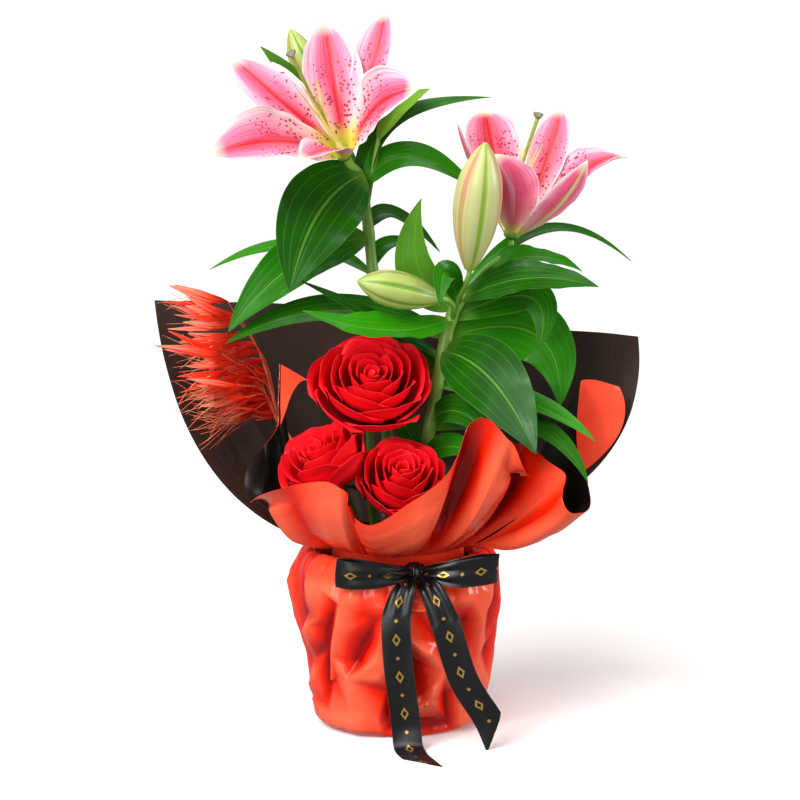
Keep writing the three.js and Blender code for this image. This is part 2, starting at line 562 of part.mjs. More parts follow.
// ---- Roses ----
// One petal of a ring of petals: it leaves the core at height rise, opens to the ring's radius, and its lip
// rolls outwards. One edge lies further out than the other, so that the petals of a ring overlap.
function rosePetal(place, { radius, rise, height, start, spread, roll, twist = 1.5, rows = 3 }, turn) {
  const point = (t, s) => {
    const angle = turn + s * spread * (0.55 + 0.45 * Math.sin((Math.PI / 2) * Math.min(t * 1.25, 1)));
    const open = start + (radius - start) * Math.sin((Math.PI / 2) * Math.min(1, t * 1.1)) ** 0.9;
    const out = open + roll * Math.max(0, t - 0.65) * 3 * (1 - 0.3 * s * s) + twist * s * t;
    const high = rise + (height - rise) * Math.sin((Math.PI / 2) * t) - 0.16 * height * s * s * t * t - 2.4 * roll * Math.max(0, t - 0.75);
    return place(out * Math.cos(angle), out * Math.sin(angle), high);
  };
  return shell(steps(rows).map((t) => steps(3).map((share) => point(t, 2 * share - 1))), PETAL);
}

// A bloom: rings of petals round a core, on an axis through its foot.
function rose({ foot, axis, rings, core, seed }) {
  const [side, other] = square(unit(axis));
  const place = (x, y, z) => along(foot, axis, z).addScaledVector(side, x).addScaledVector(other, y);
  const draw = seeded(seed);
  const petals = rings.flatMap((layer, i) =>
    Array.from({ length: layer.count }, (_, k) => {
      const turn = (2 * Math.PI * (k + 0.5 * i)) / layer.count + 0.2 * (draw() - 0.5);
      return rosePetal(place, { ...layer, height: layer.height * (1 + 0.08 * (draw() - 0.5)) }, turn);
    }),
  );
  return fuse([spindle(foot, axis, core, 8), ...petals]);
}

const LARGE_ROSE = {
  foot: [-19, -15, 222],
  axis: [0, -0.62, 0.78],
  seed: 3,
  core: [[0, 6], [5, 11.5], [14, 11.5], [24, 7], [37, 4.5], [39, 2.5]],
  rings: [
    { count: 3, radius: 9.5, rise: 24, height: 38, start: 6, spread: 1.22, roll: 0, rows: 2 },
    { count: 4, radius: 18, rise: 16, height: 36, start: 9.8, spread: 0.94, roll: 1.2, rows: 2 },
    { count: 5, radius: 27, rise: 9, height: 33, start: 10.6, spread: 0.76, roll: 2.5, rows: 2 },
    { count: 6, radius: 37, rise: 4, height: 27, start: 9.6, spread: 0.63, roll: 4, twist: 2 },
  ],
};
const SMALL_RINGS = [
  { count: 3, radius: 8.5, rise: 22, height: 37, start: 5, spread: 1.2, roll: 0, rows: 2 },
  { count: 4, radius: 17, rise: 13, height: 34, start: 8.6, spread: 0.92, roll: 1.2, rows: 2 },
  { count: 5, radius: 26, rise: 5, height: 29, start: 8.8, spread: 0.75, roll: 3.5, twist: 2 },
];
const SMALL_CORE = [[0, 5], [5, 9.8], [13, 9.8], [22, 6.2], [35, 4], [37, 2.2]];
const LEFT_ROSE = { foot: [-41, -39, 175], axis: [-0.42, -0.36, 0.83], seed: 5, core: SMALL_CORE, rings: SMALL_RINGS };
const RIGHT_ROSE = { foot: [0, -36, 164], axis: [0.1, -0.66, 0.75], seed: 9, core: SMALL_CORE, rings: SMALL_RINGS };

const ROSE_STEMS = {
  large: [[-14, 0, STEM_FOOT], [-15, -2, 98], [-18, -1, 150]],
  left: [[-20, -14, STEM_FOOT], [-22, -16, 98], [-27, -22, 133]],
  right: [[4, -18, STEM_FOOT], [4, -19, 98], [2, -20, 130]],
};

// A rose's stem, with the green cup and its five sepals under the bloom.
function roseStem(path, { foot, axis }, reach) {
  const seat = along(foot, axis, -GAP);
  const hip = spindle(along(seat, axis, -8), axis, [[0, 2.6], [4, 5], [8, 4.8]], 8);
  const stem = rod([...path, along(seat, axis, -20), along(seat, axis, -6)], (t) => 2.9 - 0.5 * t, 5, 8);
  const [side, other] = square(unit(axis));
  const sepals = steps(4).map((share) => {
    const turn = 2 * Math.PI * share * 0.8 + 0.4;
    const out = side.clone().multiplyScalar(Math.cos(turn)).addScaledVector(other, Math.sin(turn));
    const [root, bend, tip] = [[-3, 3], [-3, reach], [-9, 1.3 * reach]].map(([h, r]) => along(seat, axis, h).addScaledVector(out, r));
    return blade({ root, bend, tip, half: 2.6, face: axis }, { rows: 3, cols: 1 });
  });
  return fuse([hip, stem, ...sepals]);
}

// ---- Dyed oats ----
// Each head is a thin stalk that fans out of one bunch, with pointed husks along its last part. A husk ends
// in a long awn.
const OAT_BUNCH = [[-24, 8, STEM_FOOT], [-26, 11, 98], [-30, 19, 134], [-45, 36, 172], [-66, 42, 205]];
const OAT_TIPS = [
  [-121, 6, 297], [-119, 0, 282], [-124, -4, 266], [-120, -8, 253], [-112, -10, 242], [-106, 0, 232], [-99, 14, 219],
];

function oatBunch() {
  const draw = seeded(21);
  const fan = OAT_BUNCH.at(-1);
  const heads = OAT_TIPS.flatMap((tip) => {
    const path = [fan, mix(fan, tip, 0.48).add(vec([2, 10, 9])), tip];
    const curve = smooth(path);
    const husks = [0.62, 0.8, 0.98].flatMap((t) => {
      const stray = vec([draw() - 0.5, draw() - 0.5, draw() - 0.65]);
      return husk(curve.getPoint(t), curve.getTangent(t).addScaledVector(stray, 0.8).normalize(), 24 + 6 * draw(), draw() - 0.5);
    });
    return [rod(path, (t) => 1.1 - 0.4 * t, 3, 3), ...husks];
  });
  return fuse([rod(OAT_BUNCH, (t) => 3 - 0.6 * t, 6, 8), ...heads]);
}

function husk(from, way, long, lean) {
  const grain = spindle(from, way, [[-1, 0.8], [0.35 * long, 3.2], [long, 0.6]], 4);
  const start = along(from, way, 0.8 * long);
  const stray = way.clone().add(vec([0, lean, lean])).normalize();
  return [grain, rod([start, along(start, stray, 26)], (t) => 0.55 - 0.2 * t, 3, 1)];
}

// ---- The bouquet ----
const bouquet = new THREE.Group();

function place(name, solid, colour) {
  const { numProp, vertProperties, triVerts } = solid.getMesh();
  const corners = new Float32Array((vertProperties.length / numProp) * 3);
  for (let i = 0; i < corners.length / 3; i++) corners.set(vertProperties.subarray(i * numProp, i * numProp + 3), i * 3);
  const geometry = new THREE.BufferGeometry();
  geometry.setAttribute("position", new THREE.BufferAttribute(corners, 3));
  geometry.setIndex(new THREE.BufferAttribute(triVerts, 1));
  const mesh = new THREE.Mesh(geometry, new THREE.MeshStandardMaterial(COLOURS[colour]));
  mesh.name = name;
  bouquet.add(mesh);
}

place("pot", pot(), "pot");
place("foam", foam([
  hole(LEFT_STEM.path, 4.5), hole(RIGHT_STEM.path, 5.1), hole(OAT_BUNCH, 3.4),
  ...Object.values(ROSE_STEMS).map((path) => hole(path, 3)),
]), "foam");
place("wrap_pouch", pouch(), "red_film");
place("wrap_front", frontCollar(), "red_film");
place("wrap_back", shell(collarGrid(collarSurface(BACK_COLUMNS, NECK.back, NECK.high - 0.5), 18, 5), FILM), "red_film");
place("ribbon_band", ribbonBand(), "black_ribbon");
place("ribbon_bow", ribbonBow(), "black_ribbon");
const leftStem = { ...LEFT_STEM, path: carrying(LEFT_STEM.path, LEFT_LILY) };
place("lily_left_stem", leafyStem(leftStem, LEFT_LEAVES, [LEFT_TWIGS[0], carrying(LEFT_TWIGS[1], BUDS.left)]), "leaf");
place("lily_left_flower", lily(LEFT_LILY), "lily");
place("lily_left_pistil", pistil(LEFT_LILY), "pistil");
place("lily_left_bud", bud(BUDS.left), "bud");
const twigs = [BUDS.upright, BUDS.side, RIGHT_LILY].map((piece, i) => carrying(RIGHT_TWIGS[i], piece));
place("lily_right_stem", leafyStem(RIGHT_STEM, RIGHT_LEAVES, twigs), "leaf");
place("lily_right_flower", lily(RIGHT_LILY), "lily");
place("lily_right_pistil", pistil(RIGHT_LILY), "pistil");
place("lily_right_bud_upright", bud(BUDS.upright), "bud");
place("lily_right_bud_side", bud(BUDS.side), "bud");
place("rose_large_bloom", rose(LARGE_ROSE), "rose");
place("rose_left_bloom", rose(LEFT_ROSE), "rose");
place("rose_right_bloom", rose(RIGHT_ROSE), "rose");
place("rose_large_stem", roseStem(ROSE_STEMS.large, LARGE_ROSE, 15), "leaf");
place("rose_left_stem", roseStem(ROSE_STEMS.left, LEFT_ROSE, 12), "leaf");
place("rose_right_stem", roseStem(ROSE_STEMS.right, RIGHT_ROSE, 12), "leaf");
place("oat_bunch", oatBunch(), "oats");

export default bouquet;
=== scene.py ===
"""A mixed bouquet standing in a wrapped pot: the finish of every surface.

Two pink lilies on leafy stems with their buds, three red roses and a bunch of dyed oats stand in wet foam in a
pot. Two-tone film, red outside and black inside, is folded round the pot and tied at its neck with satin ribbon.
Lengths are in millimetres until a mesh is made. +Z is up, and -Y is the front.
"""

from __future__ import annotations

import json
import logging
import math
from collections.abc import Callable, Sequence
from dataclasses import dataclass, field, replace
from enum import Enum

import bpy
import numpy as np
from mathutils import Matrix, Vector
from mathutils.geometry import delaunay_2d_cdt

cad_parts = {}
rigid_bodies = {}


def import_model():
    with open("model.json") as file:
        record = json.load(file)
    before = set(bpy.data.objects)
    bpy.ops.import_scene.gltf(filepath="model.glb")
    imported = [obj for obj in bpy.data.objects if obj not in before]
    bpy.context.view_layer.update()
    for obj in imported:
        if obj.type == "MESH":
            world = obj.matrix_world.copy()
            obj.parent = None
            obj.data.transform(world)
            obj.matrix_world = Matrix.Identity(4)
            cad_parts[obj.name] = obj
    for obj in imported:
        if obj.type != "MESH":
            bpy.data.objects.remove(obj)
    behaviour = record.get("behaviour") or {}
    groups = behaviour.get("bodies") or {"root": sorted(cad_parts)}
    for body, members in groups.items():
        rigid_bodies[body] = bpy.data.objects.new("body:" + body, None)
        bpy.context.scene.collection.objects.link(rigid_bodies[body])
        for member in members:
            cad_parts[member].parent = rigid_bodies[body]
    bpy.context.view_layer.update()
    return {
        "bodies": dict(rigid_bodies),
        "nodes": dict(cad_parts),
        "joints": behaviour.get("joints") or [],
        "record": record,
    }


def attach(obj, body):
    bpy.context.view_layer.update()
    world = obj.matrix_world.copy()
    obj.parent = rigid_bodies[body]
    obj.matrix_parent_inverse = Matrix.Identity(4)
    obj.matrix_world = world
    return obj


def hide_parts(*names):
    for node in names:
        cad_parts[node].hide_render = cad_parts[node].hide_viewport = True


Array = np.ndarray
Point = tuple[float, float, float]
Material = bpy.types.Material
Node = bpy.types.Node
Piece = bpy.types.Object
Socket = bpy.types.NodeSocket

LOG = logging.getLogger("bouquet")
METRES = 0.001  # metres in a millimetre
ROOT = "root"


# ---- Curves and surfaces as arrays ----


def unit(v: Array | Point) -> Array:
    """Scales each vector of an array to a length of one."""
    v = np.asarray(v, float)
    return v / np.maximum(np.linalg.norm(v, axis=-1, keepdims=True), 1e-9)


def ease(x: Array | float, low: float, high: float) -> Array:
    """Rises smoothly from 0 at low to 1 at high."""
    t = np.clip((np.asarray(x, float) - low) / (high - low), 0, 1)
    return t * t * (3 - 2 * t)


def blend(a: Array | Point, b: Array | Point, t: Array | float) -> Array:
    """Mixes two arrays by the share t, which may hold one number for each vector.

    Args:
        a: the array at share 0, and b the one at share 1.
        t: the share.

    Returns:
        The mixed array.
    """
    t = np.asarray(t, float)
    t = t[..., None] if t.ndim else t
    return np.asarray(a, float) * (1 - t) + np.asarray(b, float) * t


def smooth(points: Sequence[Point] | Array, t: Array) -> Array:
    """A centripetal Catmull-Rom curve through the points.

    Args:
        points: the points that the curve passes through.
        t: places on the curve, as shares of its spans from 0 to 1.

    Returns:
        The curve's points, one for each t. On a span it is the cubic whose end slopes weigh the spans before and
        after by the square root of their lengths.
    """
    p = np.asarray(points, float)
    p = np.vstack([2 * p[0] - p[1], p, 2 * p[-1] - p[-2]])
    spans = len(p) - 3
    place = np.clip(t, 0, 1) * spans
    i = np.minimum(place.astype(int), spans - 1)
    w = (place - i)[..., None]
    a, b, c, d = (p[i + k] for k in range(4))
    ab, bc, cd = (
        np.sqrt(np.maximum(np.linalg.norm(y - x, axis=-1, keepdims=True), 1e-4)) for x, y in ((a, b), (b, c), (c, d))
    )
    slope_b = ((b - a) / ab - (c - a) / (ab + bc) + (c - b) / bc) * bc
    slope_c = ((c - b) / bc - (d - b) / (bc + cd) + (d - c) / cd) * bc
    return b + slope_b * w + (3 * (c - b) - 2 * slope_b - slope_c) * w**2 + (2 * (b - c) + slope_b + slope_c) * w**3


def bezier(a: Array, b: Array, c: Array, t: Array) -> Array:
    """A quadratic curve from a towards b to c: each end weighs by its squared share, and b by twice their product."""
    t = np.asarray(t, float)[..., None]
    return (1 - t) ** 2 * a + 2 * t * (1 - t) * b + t**2 * c


def square(direction: Array) -> tuple[Array, Array]:
    """Two directions square to each given one and to each other."""
    side = unit(np.cross(direction, (0.31, 0.95, 0.08)))
    return side, np.cross(direction, side)


@dataclass
class Skin:
    """A closed surface: points, faces of four and of three corners, and the values that its finish reads.

    Attributes:
        points: one row for each point, in millimetres.
        quads: faces of four corners, and tris those of three.
        quad_uv: for each corner the place across and along the surface, from 0 to 1, and tri_uv the same.
        tone: for each point which side it is on (0 or 1), a number of its own from 0 to 1, and a free value.
        slots: the material slot of each face, first the quads and then the tris.
    """

    points: Array
    quads: Array
    quad_uv: Array
    tone: Array
    tris: Array = field(default_factory=lambda: np.zeros((0, 3), int))
    tri_uv: Array = field(default_factory=lambda: np.zeros((0, 3, 2)))
    slots: Array | None = None

    def outward(self) -> Skin:
        """Turns every face round if the surface encloses a negative volume.

        Returns:
            The skin, with its faces pointing outwards.
        """
        p = self.points
        corners = [self.quads[:, [0, 1, 2]], self.quads[:, [0, 2, 3]], self.tris]
        volume = sum(float((p[f[:, 0]] * np.cross(p[f[:, 1]], p[f[:, 2]])).sum()) for f in corners)
        if volume >= 0:
            return self
        return replace(
            self, quads=self.quads[:, ::-1], quad_uv=self.quad_uv[:, ::-1], tris=self.tris[:, ::-1],
            tri_uv=self.tri_uv[:, ::-1]
        )


def lattice(rows: int, cols: int, wrap: bool = False) -> tuple[Array, Array]:
    """Faces over a grid of points.

    Args:
        rows: how many lines of points there are.
        cols: how many points each line has.
        wrap: whether the last point of a line joins the first.

    Returns:
        The faces' corners, and for each corner its place across and along the grid from 0 to 1.
    """
    across = cols if wrap else cols - 1
    i, j = (x.ravel() for x in np.meshgrid(np.arange(rows - 1), np.arange(across), indexing="ij"))
    corners = [(i, j), (i, j + 1), (i + 1, j + 1), (i + 1, j)]
    faces = np.stack([a * cols + b % cols for a, b in corners], 1)
    return faces, np.stack([np.stack([b / across, a / (rows - 1)], -1) for a, b in corners], 1)


def slab(top: Array, under: Array, own: float = 0.5, free: float | Array = 0.0, second: int = 0) -> Skin:
    """Closes the space between two grids of points with the same rows and columns.

    Args:
        top: the grid of the side that shows first.
        under: the grid of the other side.
        own: the surface's own number for its finish.
        free: the free value for its finish.
        second: the material slot of the under side.

    Returns:
        The closed skin, with walls round its four edges.
    """
    rows, cols = top.shape[:2]
    count = rows * cols
    faces, uv = lattice(rows, cols)
    index = np.arange(count).reshape(rows, cols)
    rim = np.concatenate([index[0, :-1], index[:-1, -1], index[-1, :0:-1], index[:0:-1, 0]])
    ahead = np.roll(rim, -1)
    walls = np.stack([ahead, rim, rim + count, ahead + count], 1)
    places = np.stack([index % cols / (cols - 1), index // cols / (rows - 1)], -1).reshape(-1, 2)
    tone = np.zeros((2 * count, 3))
    tone[count:, 0] = 1
    tone[:, 1] = own
    tone[:, 2] = np.tile(np.broadcast_to(free, (rows, cols)).ravel(), 2)
    return Skin(
        points=np.concatenate([top.reshape(-1, 3), under.reshape(-1, 3)]),
        quads=np.concatenate([faces, faces[:, ::-1] + count, walls]),
        quad_uv=np.concatenate([uv, uv[:, ::-1], np.stack([places[w % count] for w in walls.T], 1)]),
        tone=tone,
        slots=np.concatenate([np.zeros(len(faces), int), np.full(len(faces), second), np.zeros(len(walls), int)]),
    ).outward()


def normals(grid: Array) -> Array:
    """The direction square to a grid of points at each of them, from its slopes down the rows and over the columns."""
    return unit(np.cross(np.gradient(grid, axis=0), np.gradient(grid, axis=1)))


def sheet_skin(grid: Array, thick: float | Array, own: float = 0.5, free: float | Array = 0.0, second: int = 0) -> Skin:
    """Thickens a grid evenly to both sides along its normals."""
    lift = normals(grid) * (np.broadcast_to(thick, grid.shape[:2])[..., None] / 2)
    return slab(grid + lift, grid - lift, own, free, second)


def capped(rings: Array, ends: Array, own: float = 0.5) -> Skin:
    """Joins rings of points into a closed skin.

    Args:
        rings: the grid of points, a row for each ring.
        ends: the points in the middle of the first and of the last ring, which close them.
        own: the skin's own number for its finish.

    Returns:
        The closed skin.
    """
    count, sides = rings.shape[:2]
    quads, quad_uv = lattice(count, sides, wrap=True)
    j = np.arange(sides)
    ahead, last = (j + 1) % sides, (count - 1) * sides
    first_cap = np.stack([ahead, j, np.full(sides, count * sides)], 1)
    last_cap = np.stack([last + j, last + ahead, np.full(sides, count * sides + 1)], 1)
    cap_uv = [
        np.stack([np.stack([(j + a) / sides, np.full(sides, end)], -1) for a in offsets], 1)
        for end, offsets in ((0.0, (1, 0, 0.5)), (1.0, (0, 1, 0.5)))
    ]
    points = np.concatenate([rings.reshape(-1, 3), ends])
    tone = np.tile([0.0, own, 0.0], (len(points), 1))
    return Skin(points, quads, quad_uv, tone, np.concatenate([first_cap, last_cap]), np.concatenate(cap_uv)).outward()


def tube(path: Array, radii: Array, sides: int = 12, own: float = 0.5, ripple: Array | float = 0.0) -> Skin:
    """Carries a ring along a path and closes both ends with a point.

    Args:
        path: the middle of each ring.
        radii: each ring's radius.
        sides: the number of points round a ring.
        own: the tube's own number for its finish.
        ripple: the share that the radius grows by, for each ring and point round it.

    Returns:
        The closed skin, whose rings lie square to the path.
    """
    path = np.asarray(path, float)
    side, other = square(unit(np.gradient(path, axis=0)))
    turn = 2 * np.pi * np.arange(sides) / sides
    reach = np.asarray(radii, float)[:, None, None] * (1 + np.broadcast_to(ripple, (len(path), sides))[..., None])
    ring = np.cos(turn)[None, :, None] * side[:, None] + np.sin(turn)[None, :, None] * other[:, None]
    return capped(path[:, None] + reach * ring, path[[0, -1]], own)


def spindle(
    foot: Array | Point, way: Array | Point, profile: Array, sides: int = 16, own: float = 0.5,
    ripple: Array | float = 0.0
) -> Skin:
    """A body of revolution: profile holds the distance from the foot along the way, and the radius there."""
    profile = np.asarray(profile, float)
    return tube(np.asarray(foot, float) + profile[:, :1] * unit(way), profile[:, 1], sides, own, ripple)


def facets(
    across: Array, up: Array, cell: tuple[float, float], draw: np.random.Generator, around: float | None = None
) -> Array:
    """The relief of crumpled film: flat triangles between scattered points, each raised or sunk at random.

    Args:
        across: rising distances across the sheet, one for each column.
        up: rising distances up the sheet, one for each row.
        cell: the mean distance between points, across and up.
        draw: the source of the points and their heights.
        around: the distance after which the sheet comes round to its start.

    Returns:
        Heights from -1 to 1, a row for each of up. The points are the corners of a grid, every other row set off by
        half a cell and each moved by up to a third of one, and Delaunay's rule joins them into triangles.
    """
    span, tall = around or float(np.ptp(across)), float(np.ptp(up))
    cols, rows = max(3, round(span / cell[0])), max(2, round(tall / cell[1]))
    i, j = (a.ravel() for a in np.meshgrid(np.arange(cols), np.arange(-1, rows + 2), indexing="ij"))
    x = across[0] + (i + 0.5 * (j % 2) + draw.uniform(-0.34, 0.34, i.shape)) * span / cols
    y = up[0] + (j + draw.uniform(-0.34, 0.34, i.shape)) * tall / rows
    high = np.tile(draw.uniform(-1, 1, i.shape), 3)
    return folded(np.column_stack([np.concatenate([x - span, x, x + span]), np.tile(y, 3)]), high, across, up)


def folded(points: Array, high: Array, across: Array, up: Array) -> Array:
    """The relief of flat triangles between points of known height, which Delaunay's rule joins.

    Args:
        points: the places of the points, across and up.
        high: the height of each.
        across: rising distances across the sheet, one for each column.
        up: rising distances up the sheet, one for each row.

    Returns:
        Heights, a row for each of up, and nothing outside the triangles.
    """
    places, _, net, sources, _, _ = delaunay_2d_cdt([Vector(p) for p in points], [], [], 0, 1e-6)
    points, high = np.array([tuple(p) for p in places]), high[[s[0] for s in sources]]
    relief = np.zeros((len(up), len(across)))
    for corners in net:
        p, h = points[list(corners)], high[list(corners)]
        left, right = np.searchsorted(across, (p[:, 0].min(), p[:, 0].max()))
        low, top = np.searchsorted(up, (p[:, 1].min(), p[:, 1].max()))
        if left == right or low == top:
            continue
        away = np.stack(np.meshgrid(across[left:right], up[low:top]), -1) - p[0]
        share = away @ np.linalg.inv(p[1:] - p[0])
        inside = (share.min(-1) >= -1e-9) & (share.sum(-1) <= 1 + 1e-9)
        relief[low:top, left:right][inside] = (h[0] + share @ (h[1:] - h[0]))[inside]
    return relief


# ---- Finishes ----


def linear(code: str) -> tuple[float, float, float, float]:
    """Turns an sRGB hex colour into linear red, green and blue with full cover.

    Args:
        code: six hex digits after a hash.

    Returns:
        The colour with its alpha.
    """
    parts = [int(code[i : i + 2], 16) / 255 for i in (1, 3, 5)]
    red, green, blue = (c / 12.92 if c <= 0.04045 else ((c + 0.055) / 1.055) ** 2.4 for c in parts)
    return red, green, blue, 1.0


class Recipe:
    """The node graph of one material while it is put together."""

    def __init__(self, name: str) -> None:
        """Starts an empty graph in a new material.

        Args:
            name: the material's name.
        """
        self.material = bpy.data.materials.new(name)
        self.material.use_nodes = True
        self.tree = self.material.node_tree
        self.tree.nodes.clear()

    def add(
        self, kind: str, feeds: Sequence[object] | dict[str, object] = (), stops: Sequence[tuple[float, str]] = (),
        **settings: object
    ) -> Node:
        """Adds a node, sets it up and links what feeds it.

        Args:
            kind: the node's type without its ShaderNode prefix, and after a dot its operation or the kind of its data.
                A Math node goes by its operation alone.
            feeds: for its inputs, in their order or by name, a value, an output, or a node whose first output is meant.
            stops: a ramp's places and colours. The first two are its ends.
            settings: the node's own properties.

        Returns:
            The new node.
        """
        kind, _, mode = ("Math." * kind.isupper() + kind).partition(".")
        node = self.tree.nodes.new("ShaderNode" + kind)
        if mode:
            settings["data_type" if kind == "Mix" else "operation"] = mode
        for name, value in settings.items():
            setattr(node, name, value)
        for n, (place, colour) in enumerate(stops):
            stop = node.color_ramp.elements[n] if n < 2 else node.color_ramp.elements.new(place)
            stop.position, stop.color = place, linear(colour)
        inputs = [s for s in node.inputs if s.enabled]
        for key, value in feeds.items() if isinstance(feeds, dict) else enumerate(feeds):
            socket = inputs[key] if isinstance(key, int) else next(s for s in inputs if s.name == key)
            if isinstance(value, Node):
                value = next(s for s in value.outputs if s.enabled)
            if isinstance(value, Socket):
                self.tree.links.new(value, socket)
            else:
                socket.default_value = linear(value) if isinstance(value, str) else value
        return node

    def grain(self) -> tuple[Socket, Socket, Node]:
        """The place across a piece from 0 to 1, the place along it, and both as one vector.

        Returns:
            The three outputs.
        """
        both = self.add("UVMap", uv_map="grain")
        apart = self.add("SeparateXYZ", (both,))
        return apart.outputs[0], apart.outputs[1], both

    def tone(self) -> tuple[Socket, Socket, Socket]:
        """Which side of a piece a point is on, the piece's own number, and its free value."""
        apart = self.add("SeparateXYZ", (self.add("Attribute", attribute_name="tone").outputs["Vector"],))
        return apart.outputs[0], apart.outputs[1], apart.outputs[2]

    def surface(self, feeds: dict[str, object], relief: Sequence[object] = (), glow: Sequence[object] = ()) -> Material:
        """Ends the graph in one shader.

        Args:
            feeds: the shader's inputs.
            relief: the strength, height in metres and pattern of a bump.
            glow: the weight, the reach of each colour and the scale of the light that travels below the surface.

        Returns:
            The finished material.
        """
        if relief:
            feeds["Normal"] = self.add("Bump", dict(zip(("Strength", "Distance", "Height"), relief)))
        feeds |= zip(("Subsurface Weight", "Subsurface Radius", "Subsurface Scale"), glow)
        self.add("OutputMaterial", {"Surface": self.add("BsdfPrincipled", feeds)})
        return self.material


@dataclass(frozen=True)
class Film:
    """Polypropylene wrapping film with a satin face: broad soft gloss over its colour, with painted shade in its folds
    and fine handling marks.
    """

    name: str
    painted_shade: str
    body: str
    lit: str
    gloss: float
    coat: float
    specular: float
    ior: float = 1.49  # of polypropylene

    def build(self) -> Material:
        """Paints shade into the colour in the folds, as red light going from wall to wall would darken them, and
        ripples the face 6 mm apart.

        Returns:
            The material.
        """
        r = Recipe(self.name)
        _, _, fold = r.tone()  # the free value is 0 in the deepest fold and 1 on the highest, and sets the painted shade
        place = r.add("TexCoord").outputs["Object"]
        cloud = r.add("TexNoise", (place, 16, 2))
        ripple = r.add("TexNoise", (place, 170, 3, 0.55))
        level = r.add("ADD", (r.add("MULTIPLY", (cloud, 0.3)), r.add("MULTIPLY", (fold, 0.7))))
        # painted shade in the lowest folds, painted light on the highest ridges, the body colour between
        colour = r.add("ValToRGB", (level,), [(0.2, self.painted_shade), (0.78, self.lit), (0.48, self.body)])
        rough = r.add("MapRange", (ripple, 0, 1, self.gloss - 0.05, self.gloss + 0.07))
        return r.surface({
            "Base Color": colour, "Roughness": rough, "IOR": self.ior, "Specular IOR Level": self.specular,
            "Coat Weight": self.coat, "Coat Roughness": 0.12, "Coat IOR": self.ior
        }, relief=(0.22, 0.0006, ripple))


@dataclass(frozen=True)
class SatinRibbon:
    """Woven polyester satin, dyed black and foil-stamped: a soft streak of light across the threads, firm selvedges.

    The stamp is a plain chain of lozenges between dots. It stands where the real ribbon carries lettering.
    """

    name: str = "black_satin_ribbon"
    width: float = 20.0  # mm
    repeat: float = 26.0  # mm from one lozenge to the next
    thread: float = 0.45  # mm between threads, three times as coarse as real satin so that it shows
    selvedge: float = 0.7  # mm of firm edge, and a little lighter

    def build(self) -> Material:
        """Stamps gold where |x| + |y| in a lozenge's own measures is under one, and where a dot is near enough.

        Returns:
            The material.
        """
        r = Recipe(self.name)
        across, _, _ = r.grain()
        _, _, run = r.tone()  # the free value is the distance along the ribbon in metres
        x = r.add("MULTIPLY_ADD", (across, self.width, -self.width / 2))
        y = r.add("PINGPONG", (r.add("MULTIPLY", (run, 1 / METRES)), self.repeat / 2))
        shapes = []
        for middle, half_x, half_y in ((0.0, 2.9, 4.6), (self.repeat / 2, 1.5, 1.5)):
            far = r.add("ABSOLUTE", (r.add("SUBTRACT", (y, middle)),))
            reach = r.add("MULTIPLY", (r.add("ABSOLUTE", (x,)), 1 / half_x))
            total = r.add("MULTIPLY_ADD", (far, 1 / half_y, reach))
            shapes.append([r.add("MapRange", (total, low, high, 1, 0)) for low, high in ((0.92, 1.02), (0.5, 0.58))])
        (lozenge, hollow), (dot, _) = shapes
        frame = r.add("SUBTRACT", (lozenge, hollow), use_clamp=True)
        gold = r.add("MAXIMUM", (frame, dot))
        weave = r.add("SINE", (r.add("MULTIPLY", (x, 2 * math.pi / self.thread)),))
        edge = r.add("GREATER_THAN", (r.add("ABSOLUTE", (x,)), self.width / 2 - self.selvedge))
        cloth = r.add("Mix.RGBA", (edge, "#060607", "#101013"))
        colour = r.add("Mix.RGBA", (gold, cloth, "#C9A14A"))
        metal = r.add("MULTIPLY", (gold, 0.85))
        rough = r.add("MapRange", (gold, 0, 1, 0.31, 0.28))
        return r.surface({
            "Base Color": colour, "Metallic": metal, "Roughness": rough, "Sheen Weight": 0.03, "Sheen Roughness": 0.35,
            "Specular IOR Level": 0.42
        }, relief=(0.25, 0.00005, weave))


